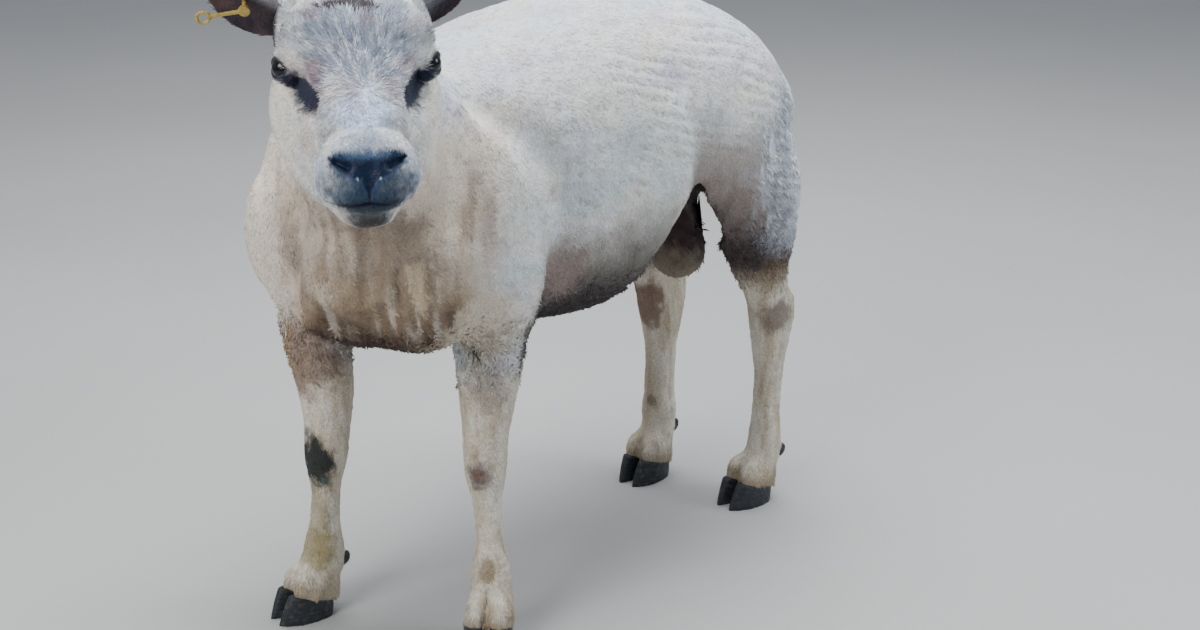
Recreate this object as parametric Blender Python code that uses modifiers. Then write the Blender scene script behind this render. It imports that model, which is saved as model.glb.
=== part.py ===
"""A shorn ram, life size, standing still with its head turned to its left.

The ram faces -Y, its left side is +X and the floor is z = 0.  Its flesh is a set of lofts and
ellipsoids fused into one cast, which thin cuts then part into a closed solid for each named part.
Units are metres and degrees.
"""

import math

import bmesh
import bpy
from mathutils import Matrix, Vector

# ---------------------------------------------------------------- driving dimensions
GAP = 0.0003  # clearance between neighbouring solids
VOXEL = 0.0038  # grain at which overlapping forms are fused
BODY_TRIANGLES = 3850  # of the whole cast, before it is parted

SPINE_BEND = 14.0  # turn of the trunk from hips to shoulders, towards the left
HIP_TO_SHOULDER = 0.56  # length of spine over which it turns

EYE_MIDPOINT = Vector((0.198, -0.474, 0.742))
HEAD_YAW = 52.2  # turn of the face from -Y towards +X
HEAD_PITCH = 21.5  # dip of the face below the horizontal
EYE_RADIUS = 0.0155
EYE_PLACE = Vector((0.0622, -0.009, 0.0045))  # left eye in head space

EAR_LENGTH = 0.128
EAR_WIDTH = 0.072
EAR_WALL = 0.0042
EAR_ROOT = Vector((0.060, 0.060, 0.010))  # left ear in head space
EAR_ROOT_DEPTH = 0.014  # how far the ear starts inside the head
# side, lift above the horizontal, sweep backwards, twist about its own length
EARS = {"left": (1, 48.0, 22.0, 20.0), "right": (-1, 30.0, 14.0, 12.0)}

KNEE_HEIGHT = 0.217
HOCK_HEIGHT = 0.250
FETLOCK_HEIGHT = 0.082
CORONET_HEIGHT = 0.030  # of the claws at mid length
CORONET_SLOPE = 0.26  # rise of the coronet towards the toe
CLAW_LENGTH = 0.070
CLAW_WIDTH = 0.0275
CLAW_PARTING = 0.0305  # between the middles of the two claws of a foot
CLAW_CLEFT = 0.0024  # clear gap between the two claws
FOOT_REACH = 0.030  # from the fetlock forward to the middle of the claws

# slot: base colour, roughness
FINISHES = {
    "wool": ((0.72, 0.66, 0.58), 0.90),
    "face_hair": ((0.70, 0.68, 0.66), 0.85),
    "eye": ((0.02, 0.018, 0.02), 0.10),
    "hoof": ((0.035, 0.032, 0.035), 0.45),
    "ear_tag": ((0.85, 0.62, 0.05), 0.40),
}
# a node takes the slot of the first name start that fits
SLOTS = (
    ("eye", "eye"),
    ("claw", "hoof"),
    ("dewclaw", "hoof"),
    ("ear_tag", "ear_tag"),
    ("head", "face_hair"),
    ("ear_", "face_hair"),
)


# ---------------------------------------------------------------- building blocks
def add_object(name, mesh, place):
    obj = bpy.data.objects.new(name, mesh)
    place.objects.link(obj)
    return obj


def new_collection(name):
    made = bpy.data.collections.new(name)
    bpy.context.scene.collection.children.link(made)
    return made


def material(slot):
    """The Principled material of a slot, made once."""
    made = bpy.data.materials.get(slot)
    if made is None:
        made = bpy.data.materials.new(slot)
        made.use_nodes = True
        colour, roughness = FINISHES[slot]
        shader = made.node_tree.nodes["Principled BSDF"]
        shader.inputs["Base Color"].default_value = (*colour, 1.0)
        shader.inputs["Roughness"].default_value = roughness
    return made


def smooth_rows(rows, steps=4):
    """Rows of numbers with steps - 1 more rows between each two, on Catmull-Rom curves through them."""
    dense = []
    padded = (rows[0], *rows, rows[-1])
    for before, low, high, after in zip(padded, padded[1:], padded[2:], padded[3:]):
        for step in range(steps):
            t = step / steps
            weights = (
                (-t + 2 * t**2 - t**3) / 2,
                (2 - 5 * t**2 + 3 * t**3) / 2,
                (t + 4 * t**2 - 3 * t**3) / 2,
                (-(t**2) + t**3) / 2,
            )
            columns = zip(before, low, high, after)
            dense.append(tuple(sum(w * v for w, v in zip(weights, column)) for column in columns))
    dense.append(tuple(rows[-1]))
    return dense


def at_height(path, height):
    """Plan position of a path of (height, x, y) rows at a height."""
    if height <= path[0][0]:
        return path[0][1:]
    for low, high in zip(path, path[1:]):
        if height <= high[0]:
            t = (height - low[0]) / (high[0] - low[0])
            return tuple(a + (b - a) * t for a, b in zip(low[1:], high[1:]))
    return path[-1][1:]


def ring(centre, side, up, half_width, rise, drop, power=2.3, count=40):
    """A superelliptic section: half_width along side, rise along up and drop against it."""
    points = []
    for i in range(count):
        angle = 2 * math.pi * i / count
        c, s = math.cos(angle), math.sin(angle)
        across = math.copysign(abs(c) ** (2 / power), c) * half_width
        above = math.copysign(abs(s) ** (2 / power), s) * (rise if s > 0 else drop)
        points.append(centre + side * across + up * above)
    return points


def loft(form, rings):
    """Adds to the bmesh form a closed skin over successive rings, with a flat cap at each end."""
    rows = [[form.verts.new(point) for point in points] for points in rings]
    count = len(rows[0])
    for below, above in zip(rows, rows[1:]):
        for i in range(count):
            j = (i + 1) % count
            form.faces.new((below[i], below[j], above[j], above[i]))
    form.faces.new(list(reversed(rows[0])))
    form.faces.new(rows[-1])


def turned(angles):
    """Rotation about X, then Y, then Z by angles in degrees."""
    a, b, c = (math.radians(angle) for angle in angles)
    return Matrix.Rotation(c, 4, "Z") @ Matrix.Rotation(b, 4, "Y") @ Matrix.Rotation(a, 4, "X")


def ball(form, centre, radii, angles=(0.0, 0.0, 0.0), segments=32, pose=Matrix.Identity(4)):
    """Adds an ellipsoid, placed in the space of pose."""
    place = pose @ Matrix.Translation(centre) @ turned(angles) @ Matrix.Diagonal((*radii, 1.0))
    bmesh.ops.create_uvsphere(form, u_segments=segments, v_segments=segments // 2, radius=1.0, matrix=place)


def shell_of(name, form, place):
    """Turns the bmesh form into an object whose faces point outward, and frees it."""
    bmesh.ops.recalc_face_normals(form, faces=form.faces[:])
    mesh = bpy.data.meshes.new(name)
    form.to_mesh(mesh)
    form.free()
    return add_object(name, mesh, place)


def settle(obj):
    """Applies all modifiers of a mesh object."""
    graph = bpy.context.evaluated_depsgraph_get()
    mesh = bpy.data.meshes.new_from_object(obj.evaluated_get(graph))
    obj.modifiers.clear()
    obj.data = mesh
    return obj


def fuse(obj, triangles, softness=None, passes=5):
    """Fuses overlapping shells into one skin, softens it and thins it to so many triangles.

    softness(point) tells how much of the further smoothing a place gets.
    """
    remesh = obj.modifiers.new("fuse", "REMESH")
    remesh.mode = "VOXEL"
    remesh.voxel_size = VOXEL
    soften = obj.modifiers.new("soften", "SMOOTH")
    soften.factor = 0.5
    soften.iterations = passes
    settle(obj)
    if softness:
        group = obj.vertex_groups.new(name="soft")
        for vert in obj.data.vertices:
            group.add([vert.index], softness(vert.co), "REPLACE")
        blend = obj.modifiers.new("blend", "SMOOTH")
        blend.factor = 0.5
        blend.iterations = 34
        blend.vertex_group = group.name
        settle(obj)
        obj.vertex_groups.clear()
    form = bmesh.new()
    form.from_mesh(obj.data)
    bmesh.ops.triangulate(form, faces=form.faces[:])
    form.to_mesh(obj.data)
    form.free()
    thin = obj.modifiers.new("thin", "DECIMATE")
    thin.ratio = triangles / len(obj.data.polygons)
    return settle(obj)


# ---------------------------------------------------------------- spine and trunk
def spine(along):
    """Plan position of the spine, and its turn in radians, so many metres behind mid trunk."""
    curvature = math.radians(SPINE_BEND) / HIP_TO_SHOULDER
    sag = (1 - math.cos(curvature * HIP_TO_SHOULDER / 2)) / curvature
    x = (1 - math.cos(curvature * along)) / curvature - sag
    return Vector((x, math.sin(curvature * along) / curvature, 0.0)), -curvature * along


def spine_axes(along):
    """Leftward and backward unit directions at a place on the spine."""
    turn = spine(along)[1]
    return Vector((math.cos(turn), math.sin(turn), 0.0)), Vector((-math.sin(turn), math.cos(turn), 0.0))


def on_trunk(along, lateral, height):
    """A point beside the spine; lateral is towards the left."""
    return spine(along)[0] + spine_axes(along)[0] * lateral + Vector((0.0, 0.0, height))


# along the spine, top, bottom, half width, height of the widest place, squareness
TRUNK_SECTIONS = (
    (-0.392, 0.545, 0.450, 0.045, 0.490, 2.1),
    (-0.374, 0.588, 0.415, 0.082, 0.485, 2.2),
    (-0.338, 0.635, 0.404, 0.112, 0.485, 2.5),
    (-0.286, 0.668, 0.393, 0.130, 0.492, 2.8),
    (-0.220, 0.682, 0.376, 0.142, 0.500, 2.7),
    (-0.140, 0.694, 0.354, 0.148, 0.505, 2.5),
    (-0.060, 0.706, 0.343, 0.160, 0.510, 2.5),
    (0.020, 0.713, 0.342, 0.163, 0.514, 2.5),
    (0.090, 0.713, 0.384, 0.161, 0.540, 2.15),
    (0.150, 0.709, 0.448, 0.155, 0.570, 2.0),
    (0.205, 0.699, 0.472, 0.149, 0.570, 2.1),
    (0.255, 0.679, 0.456, 0.143, 0.560, 2.4),
    (0.300, 0.647, 0.462, 0.130, 0.550, 2.3),
    (0.334, 0.607, 0.462, 0.106, 0.540, 2.2),
    (0.354, 0.572, 0.485, 0.066, 0.530, 2.1),
)
# muscles on both sides: along, lateral, height, radii, lean about the lateral axis
TRUNK_MUSCLES = (
    (-0.252, 0.094, 0.515, (0.058, 0.098, 0.136), 18),  # shoulder blade
    (-0.318, 0.095, 0.492, (0.054, 0.062, 0.088), 0),  # point of the shoulder
    (-0.205, 0.106, 0.445, (0.049, 0.078, 0.082), 0),  # upper arm
    (-0.306, 0.066, 0.441, (0.076, 0.062, 0.066), 0),  # breast
    (-0.322, 0.016, 0.432, (0.058, 0.060, 0.057), 0),  # brisket
    (0.205, 0.084, 0.545, (0.074, 0.118, 0.112), -12),  # rump
    (0.250, 0.086, 0.480, (0.068, 0.084, 0.106), 6),  # thigh
    (0.224, 0.098, 0.494, (0.040, 0.058, 0.058), -24),  # stifle
    (0.280, 0.056, 0.530, (0.052, 0.062, 0.080), 0),  # buttock
)


SHEATH = (0.045, 0.345, (0.022, 0.046, 0.016))  # along, height, radii
FLANK = Vector((0.112, 0.130, 0.462))  # where belly and thigh meet, with the same on the right
# the open folds between belly and thigh: side, along, lateral, height, radii, pitch, lean, heading; the left
# thigh is drawn back, so that its fold runs on to the groin
FLANK_FOLDS = (
    (1, 0.146, 0.111, 0.466, (0.014, 0.060, 0.022), 0.0, 0.0, 36.0),
    (-1, 0.146, 0.111, 0.466, (0.014, 0.060, 0.022), 0.0, 0.0, 36.0),
    (1, 0.216, 0.073, 0.418, (0.015, 0.108, 0.038), -17.0, -25.0, 44.0),
)


def trunk_forms(form):
    rings = []
    for along, top, bottom, half_width, widest, power in smooth_rows(TRUNK_SECTIONS):
        side = spine_axes(along)[0]
        centre = on_trunk(along, 0.0, widest)
        rise, fall = top - widest, widest - bottom
        rings.append(ring(centre, side, Vector((0, 0, 1)), half_width, rise, fall, power))
    loft(form, rings)
    for along, lateral, height, radii, lean in TRUNK_MUSCLES:
        turn = math.degrees(spine(along)[1])
        for side in (1, -1):
            ball(form, on_trunk(along, side * lateral, height), radii, (lean, 0, turn))
    along, height, radii = SHEATH
    ball(form, on_trunk(along, 0.0, height), radii)


def flank_fold_form(side, along, lateral, height, radii, pitch, lean, heading):
    form = bmesh.new()
    turn = math.degrees(spine(along)[1]) + side * heading
    place = Matrix.Translation(on_trunk(along, side * lateral, height)) @ turned((pitch, side * lean, turn))
    shape = place @ Matrix.Diagonal((*radii, 1))
    bmesh.ops.create_uvsphere(form, u_segments=10, v_segments=8, radius=1.0, matrix=shape)
    return form


# ---------------------------------------------------------------- neck and head
# share of the way from withers to skull, half width, rise, drop
NECK_SECTIONS = (
    (0.00, 0.112, 0.112, 0.150),
    (0.25, 0.104, 0.100, 0.140),
    (0.50, 0.093, 0.087, 0.122),
    (0.75, 0.080, 0.075, 0.104),
    (1.00, 0.068, 0.065, 0.088),
)
NECK_PATH = (
    Vector((0.004, -0.225, 0.560)),
    Vector((0.040, -0.330, 0.615)),
    Vector((0.150, -0.445, 0.715)),
)
THROAT = (Vector((0.046, -0.346, 0.556)), (0.094, 0.060, 0.130), (-14, 0, 16))


def neck_forms(form):
    start, bend, end = NECK_PATH
    rings = []
    for share, half_width, rise, drop in smooth_rows(NECK_SECTIONS):
        point = start * (1 - share) ** 2 + bend * 2 * share * (1 - share) + end * share**2
        ahead = ((bend - start) * (1 - share) + (end - bend) * share).normalized()
        side = Vector((-ahead.y, ahead.x, 0.0)).normalized()
        rings.append(ring(point, side, ahead.cross(side), half_width, rise, drop, 2.2))
    loft(form, rings)
    ball(form, *THROAT)


def head_pose():
    """Carries head space, with the face along -Y and the eyes on X, to its place on the ram."""
    return Matrix.Translation(EYE_MIDPOINT) @ turned((HEAD_PITCH, 0, HEAD_YAW))


# along the face with the nose at the negative end, half width, top, bottom
SKULL_SECTIONS = (
    (0.102, 0.046, 0.034, -0.050),
    (0.084, 0.060, 0.052, -0.060),
    (0.052, 0.072, 0.063, -0.060),
    (0.020, 0.0755, 0.063, -0.058),
    (-0.008, 0.0680, 0.056, -0.058),
    (-0.034, 0.0570, 0.046, -0.058),
    (-0.068, 0.0480, 0.036, -0.058),
    (-0.100, 0.0425, 0.029, -0.056),
    (-0.126, 0.0410, 0.023, -0.054),
    (-0.146, 0.0440, 0.017, -0.052),
    (-0.159, 0.0412, 0.010, -0.049),
    (-0.168, 0.0345, 0.002, -0.045),
    (-0.174, 0.0270, -0.007, -0.041),
    (-0.1775, 0.0140, -0.017, -0.032),
)
JAW_SECTIONS = (
    (0.088, 0.044, -0.030, -0.098),
    (0.060, 0.067, -0.010, -0.117),
    (0.030, 0.078, 0.004, -0.126),
    (0.000, 0.079, 0.000, -0.126),
    (-0.040, 0.0720, -0.006, -0.117),
    (-0.080, 0.0580, -0.014, -0.105),
    (-0.115, 0.0375, -0.022, -0.093),
    (-0.140, 0.0290, -0.034, -0.083),
    (-0.156, 0.0225, -0.042, -0.074),
    (-0.165, 0.0140, -0.048, -0.066),
)
# on both sides of the face: centre, radii, lean about the length of the face
FACE_MUSCLES = (
    ((0.055, 0.006, 0.022), (0.021, 0.024, 0.019), 0),  # orbit
    ((0.020, 0.006, 0.028), (0.048, 0.046, 0.038), 8),  # forehead
    ((0.062, 0.018, -0.062), (0.022, 0.046, 0.046), 0),  # cheek
    ((0.034, -0.052, -0.034), (0.025, 0.054, 0.042), 0),  # side of the face
    ((0.027, -0.149, -0.022), (0.0195, 0.024, 0.028), 0),  # upper lip
)


def head_forms(form):
    pose = head_pose()
    axes = pose.to_3x3()
    for sections, power in ((SKULL_SECTIONS, 2.6), (JAW_SECTIONS, 2.8)):
        rings = []
        for along, half_width, top, bottom in smooth_rows(sections):
            centre = pose @ Vector((0.0, along, (top + bottom) / 2))
            half = (top - bottom) / 2
            rings.append(ring(centre, axes.col[0], axes.col[2], half_width, half, half, power))
        loft(form, rings)
    for (x, y, z), radii, lean in FACE_MUSCLES:
        for side in (1, -1):
            ball(form, Vector((x * side, y, z)), radii, (0, lean * side, 0), pose=pose)


def ear_pose(side, lift, sweep, twist):
    """Carries ear space, where a left ear runs along +X, to the world."""
    root = Matrix.Translation((EAR_ROOT.x * side, EAR_ROOT.y, EAR_ROOT.z))
    swept = root @ turned((0, 0, sweep * side)) @ turned((0, -lift * side, 0))
    return head_pose() @ swept @ turned((twist, 0, 0))


def ear(name, side, pose, place):
    """A cupped leaf with its hollow facing forward, made from a grid and thickened."""
    form = bmesh.new()
    bmesh.ops.create_grid(form, x_segments=9, y_segments=5, size=1.0)
    for vert in form.verts:
        along = (vert.co.x + 1) / 2  # 0 at the root, 1 at the tip
        swell = math.sin(math.pi * min(along / 0.9, 1.0) ** 0.85)
        outline = (0.34 + 0.66 * swell) * math.sqrt(max(1 - along**5, 0.0))
        curl = math.radians(80 - 36 * along)  # half of the arc that the leaf is rolled over
        radius = EAR_WIDTH / 2 * max(outline, 0.10) / curl
        angle = vert.co.y * curl
        forward = 0.010 * (1 - along) - radius * (1 - math.cos(angle))
        reach = side * (along * EAR_LENGTH - EAR_ROOT_DEPTH)
        vert.co = pose @ Vector((reach, forward, radius * math.sin(angle)))
    obj = shell_of(name, form, place)
    thicken = obj.modifiers.new("wall", "SOLIDIFY")
    thicken.thickness = EAR_WALL
    thicken.offset = 0.0
    return settle(obj)


# ---------------------------------------------------------------- legs
# each leg: height, x and y along its axis, the heading of its foot from -Y towards +X, its girth
LEGS = {
    "foreleg_left": (
        (
            (0.0, 0.093, -0.212),
            (0.082, 0.093, -0.212),
            (0.217, 0.078, -0.203),
            (0.36, 0.087, -0.204),
            (0.50, 0.106, -0.235),
        ),
        36.0,
        1.04,
    ),
    "foreleg_right": (
        (
            (0.0, -0.107, -0.298),
            (0.082, -0.106, -0.298),
            (0.217, -0.085, -0.302),
            (0.28, -0.092, -0.294),
            (0.37, -0.116, -0.288),
            (0.50, -0.118, -0.265),
        ),
        -12.0,
        1.06,
    ),
    "hindleg_left": (
        (
            (0.0, 0.077, 0.316),
            (0.082, 0.079, 0.317),
            (0.25, 0.083, 0.320),
            (0.33, 0.086, 0.298),
            (0.42, 0.090, 0.264),
            (0.54, 0.092, 0.240),
        ),
        -8.0,
        1.10,
    ),
    "hindleg_right": (
        (
            (0.0, -0.081, 0.284),
            (0.082, -0.081, 0.284),
            (0.25, -0.082, 0.288),
            (0.33, -0.086, 0.272),
            (0.42, -0.092, 0.246),
            (0.54, -0.093, 0.230),
        ),
        2.0,
        1.22,
    ),
}
# height, half width, reach forward, reach back
FORE_SECTIONS = (
    (0.020, 0.0270, 0.048, 0.014),
    (0.035, 0.0270, 0.044, 0.016),
    (0.050, 0.0265, 0.037, 0.019),
    (0.066, 0.0250, 0.029, 0.022),
    (0.082, 0.0240, 0.024, 0.024),
    (0.100, 0.0205, 0.020, 0.021),
    (0.125, 0.0168, 0.017, 0.019),
    (0.160, 0.0165, 0.017, 0.018),
    (0.185, 0.0208, 0.0205, 0.020),
    (0.205, 0.0245, 0.0255, 0.023),
    (0.225, 0.0255, 0.0265, 0.024),
    (0.250, 0.0258, 0.0270, 0.027),
    (0.280, 0.0290, 0.0300, 0.033),
    (0.310, 0.0320, 0.0335, 0.039),
    (0.340, 0.0345, 0.0365, 0.045),
    (0.370, 0.0370, 0.0400, 0.052),
    (0.410, 0.0400, 0.0450, 0.058),
    (0.450, 0.0400, 0.0450, 0.056),
    (0.480, 0.0200, 0.0250, 0.030),
)
HIND_SECTIONS = (
    (0.020, 0.0245, 0.043, 0.014),
    (0.035, 0.0245, 0.039, 0.016),
    (0.050, 0.0240, 0.033, 0.018),
    (0.066, 0.0225, 0.025, 0.021),
    (0.082, 0.0215, 0.021, 0.023),
    (0.100, 0.0190, 0.019, 0.021),
    (0.130, 0.0165, 0.018, 0.020),
    (0.180, 0.0165, 0.019, 0.021),
    (0.210, 0.0195, 0.0225, 0.024),
    (0.235, 0.0220, 0.0275, 0.029),
    (0.262, 0.0225, 0.0310, 0.036),
    (0.285, 0.0205, 0.0330, 0.037),
    (0.305, 0.0215, 0.0370, 0.029),
    (0.325, 0.0260, 0.0420, 0.030),
    (0.355, 0.0345, 0.0480, 0.040),
    (0.385, 0.0410, 0.0520, 0.051),
    (0.430, 0.0500, 0.0580, 0.064),
    (0.480, 0.0520, 0.0640, 0.068),
    (0.520, 0.0300, 0.0450, 0.040),
)


def heading_axes(heading):
    """Forward and leftward unit directions of a heading from -Y towards +X."""
    angle = math.radians(heading)
    forward = Vector((math.sin(angle), -math.cos(angle), 0.0))
    return forward, Vector((-forward.y, forward.x, 0.0))


def leg_forms(form, leg):
    path, heading, girth = LEGS[leg]
    path = smooth_rows(path)
    sections = FORE_SECTIONS if leg.startswith("fore") else HIND_SECTIONS
    rings = []
    for height, half_width, ahead, behind in smooth_rows(sections, 3):
        x, y = at_height(path, height)
        # the heading of the foot eases to that of the trunk towards the elbow or stifle
        ease = min(max((height - FETLOCK_HEIGHT) / 0.20, 0.0), 1.0)
        forward, side = heading_axes(heading * (1 - ease) + math.degrees(spine(y)[1]) * ease)
        full = girth if height > FETLOCK_HEIGHT else 1.0
        wide, front, back = half_width * full, ahead * full, behind * full
        rings.append(ring(Vector((x, y, height)), side, forward, wide, front, back, 2.1, 28))
    loft(form, rings)
    forward, side = heading_axes(heading)
    foot = Vector((*path[0][1:], 0.036))
    for toe in (1, -1):  # the fleshy toe above each claw
        centre = foot + forward * (FOOT_REACH * 0.66) + side * (toe * CLAW_PARTING * 0.48)
        ball(form, centre, (0.0145, 0.0300, 0.029), (-24, 0, heading))


def foot_place(leg):
    """Middle of a foot on the floor, with its forward and leftward directions."""
    path, heading, _ = LEGS[leg]
    forward, side = heading_axes(heading)
    return Vector((*path[0][1:], 0.0)) + forward * FOOT_REACH, forward, side


# share of the claw's height, then length, width and forward shift of its outline there
CLAW_SECTIONS = (
    (0.0, 1.0, 1.0, 0.004),
    (0.12, 0.99, 1.03, 0.0035),
    (0.55, 0.92, 0.99, 0.0),
    (1.0, 0.84, 0.90, -0.004),
)
CLAW_POINTS = 14


def claw(leg, toe):
    """Half of the cloven hoof: a flat sole, a sloping front wall and a coronet that rises to the toe."""
    middle, forward, side = foot_place(leg)
    centre = middle + side * (toe * CLAW_PARTING / 2)
    half_length, half_width = CLAW_LENGTH / 2, CLAW_WIDTH / 2
    rings = []
    for share, length, width, shift in CLAW_SECTIONS:
        points = []
        for i in range(CLAW_POINTS):
            angle = 2 * math.pi * i / CLAW_POINTS
            c, s = math.cos(angle), math.sin(angle)
            along = math.copysign(abs(c) ** 0.9, c) * half_length * length + shift
            nose = max(along / half_length, 0.0) ** 2  # how far the point lies round the toe
            outward = toe * math.copysign(abs(s) ** 0.8, s) * half_width * width * (1 - 0.42 * nose)
            outward = max(outward - 0.0035 * nose, CLAW_CLEFT / 2 - CLAW_PARTING / 2)
            height = share * (CORONET_HEIGHT - GAP + CORONET_SLOPE * along)
            level = centre + forward * along + side * (toe * outward)
            points.append(level + Vector((0.0, 0.0, height)))
        rings.append(points)
    form = bmesh.new()
    loft(form, rings)
    return form


def dewclaw(leg, toe):
    path, heading, _ = LEGS[leg]
    forward, side = heading_axes(heading)
    fetlock = Vector((*at_height(path, FETLOCK_HEIGHT), FETLOCK_HEIGHT))
    form = bmesh.new()
    centre = fetlock - forward * 0.0205 + side * (toe * 0.0125) - Vector((0.0, 0.0, 0.016))
    ball(form, centre, (0.0065, 0.0080, 0.0110), (-30, 0, heading), 8)
    return form


# ---------------------------------------------------------------- tail, scrotum and tag
# share of the docked tail's length, half width, half depth
TAIL_SECTIONS = (
    (0.0, 0.032, 0.020),
    (0.25, 0.029, 0.018),
    (0.6, 0.024, 0.015),
    (0.88, 0.018, 0.012),
    (1.0, 0.009, 0.006),
)
TAIL_TOP = (0.312, 0.612)  # along the spine, height
TAIL_DROP = 0.105


def tail_form():
    form = bmesh.new()
    rings = []
    for share, half_width, depth in smooth_rows(TAIL_SECTIONS):
        along = TAIL_TOP[0] + 0.050 * math.sin(share * math.pi / 2)
        side, back = spine_axes(along)
        facing = (back + Vector((0.0, 0.0, 0.8 * (1 - share)))).normalized()
        centre = on_trunk(along, 0.0, TAIL_TOP[1] - TAIL_DROP * max(share, 0.0) ** 1.3)
        rings.append(ring(centre, side, facing, half_width, depth, depth, 2.2, 24))
    loft(form, rings)
    return form


# drop below the groin, half width, half depth, shift back
SCROTUM_SECTIONS = (
    (0.000, 0.026, 0.028, 0.000),
    (0.020, 0.027, 0.027, 0.002),
    (0.045, 0.034, 0.029, 0.004),
    (0.075, 0.043, 0.034, 0.006),
    (0.102, 0.040, 0.032, 0.006),
    (0.119, 0.026, 0.021, 0.005),
    (0.126, 0.012, 0.010, 0.005),
)
GROIN = (0.213, 0.012, 0.447)  # along the spine, lateral, height


def scrotum_form():
    form = bmesh.new()
    root = on_trunk(*GROIN)
    rings = []
    for drop, half_width, depth, shift in smooth_rows(SCROTUM_SECTIONS):
        centre = root + Vector((0.0, shift, -drop))
        rings.append(ring(centre, Vector((1, 0, 0)), Vector((0, 1, 0)), half_width, depth, depth, 2.1, 28))
    loft(form, rings)
    return form


TAG_PLACE = Vector((-0.117, 0.052, 0.026))  # in head space
TAG_TILT = -9.0
TAG_STRAP = Vector((0.034, 0.0022, 0.0042))
TAG_RING = (0.0060, 0.0019)  # radii of the ring and of its wire
TAG_STUD = (0.0056, 0.0050)  # radius and depth
TAG_PIN = (0.0020, 0.024)


def ear_tag(place):
    """A loop tag: a ring and a stud on a strap, and a pin from the stud back through the ear."""
    upright = Matrix.Rotation(math.pi / 2, 4, "X")
    form = bmesh.new()
    bmesh.ops.create_cube(form, size=1.0, matrix=Matrix.Diagonal((*TAG_STRAP, 1.0)))
    tag = shell_of("ear_tag", form, place)
    bpy.ops.mesh.primitive_torus_add(
        major_radius=TAG_RING[0], minor_radius=TAG_RING[1], major_segments=16, minor_segments=6
    )
    loop = bpy.context.object
    loop.data.transform(Matrix.Translation((-TAG_STRAP.x / 2 - 0.8 * TAG_RING[0], 0, 0)) @ upright)
    end = TAG_STRAP.x / 2
    pieces = [loop]
    for (radius, depth), shift in ((TAG_STUD, 0.0), (TAG_PIN, TAG_PIN[1] / 2)):
        form = bmesh.new()
        spot = Matrix.Translation((end, shift, 0)) @ upright
        round_end = {"cap_ends": True, "segments": 14, "radius1": radius, "radius2": radius, "depth": depth}
        bmesh.ops.create_cone(form, matrix=spot, **round_end)
        pieces.append(shell_of("piece", form, place))
    for piece in pieces:
        cut(tag, piece, "UNION")
        bpy.data.objects.remove(piece)
    tag.data.transform(head_pose() @ Matrix.Translation(TAG_PLACE) @ turned((0, TAG_TILT, 0)))
    return tag


# ---------------------------------------------------------------- parting the cast
# blocks that hold the legs: centre, half sizes, turn
LEG_BLOCKS = {
    "foreleg_left": ((0.125, -0.215, 0.165), (0.110, 0.085, 0.187), (0, 0, 0)),
    "foreleg_right": ((-0.125, -0.290, 0.165), (0.110, 0.085, 0.187), (0, 0, 0)),
    "hindleg_left": ((0.1055, 0.325, 0.207), (0.105, 0.150, 0.232), (6, 0, 0)),
    "hindleg_right": ((-0.1055, 0.325, 0.207), (0.105, 0.150, 0.232), (6, 0, 0)),
}
# planes that part head from neck and neck from trunk: a point and the direction towards the head
HEAD_CUT = (Vector((0.116, -0.408, 0.730)), Vector((0.585, -0.611, 0.532)))
NECK_CUT = (Vector((0.062, -0.326, 0.640)), Vector((0.42, -0.60, 0.68)))


def cut(obj, cutter, operation="DIFFERENCE"):
    step = obj.modifiers.new("cut", "BOOLEAN")
    step.operation = operation
    step.object = cutter
    return settle(obj)


def block(centre, half_sizes, turn, place):
    form = bmesh.new()
    matrix = Matrix.Translation(centre) @ turn @ Matrix.Diagonal((*half_sizes, 1.0))
    bmesh.ops.create_cube(form, size=2.0, matrix=matrix)
    return shell_of("cutter", form, place)


def part_off(cast, name, centre, half_sizes, turn, place):
    """Takes what lies in a block out of the cast as a solid of its own, with a gap between the two."""
    taken = add_object(name, cast.data.copy(), place)
    for obj, grow, operation in ((taken, 0.0, "INTERSECT"), (cast, GAP, "DIFFERENCE")):
        cutter = block(centre, [half + grow for half in half_sizes], turn, place)
        cut(obj, cutter, operation)
        bpy.data.objects.remove(cutter)
    return taken


def beyond(plane, size):
    """Centre, half sizes and turn of a block whose near face lies on a plane."""
    point, direction = plane[0], plane[1].normalized()
    turn = direction.to_track_quat("Z", "Y").to_matrix().to_4x4()
    return point + direction * size, (size, size, size), turn


def clear_of(obj, neighbour, place):
    """Trims obj to leave a gap round a neighbour, and drops all but its largest piece."""
    form = bmesh.new()
    form.from_mesh(neighbour.data)
    form.normal_update()
    moves = [(vert, vert.normal * GAP * 1.5) for vert in form.verts]
    for vert, move in moves:
        vert.co += move
    cutter = shell_of("cutter", form, place)
    cut(obj, cutter)
    bpy.data.objects.remove(cutter)
    return keep_largest(obj)


def keep_largest(obj):
    """Drops loose scraps that a cut has left, keeping the body with most faces."""
    form = bmesh.new()
    form.from_mesh(obj.data)
    left = set(form.faces)
    bodies = []
    while left:
        stack = [left.pop()]
        body = set(stack)
        while stack:
            for edge in stack.pop().edges:
                for face in edge.link_faces:
                    if face in left:
                        left.discard(face)
                        body.add(face)
                        stack.append(face)
        bodies.append(body)
    bodies.sort(key=len)
    bmesh.ops.delete(form, geom=[face for body in bodies[:-1] for face in body], context="FACES")
    form.to_mesh(obj.data)
    form.free()
    return obj


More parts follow.
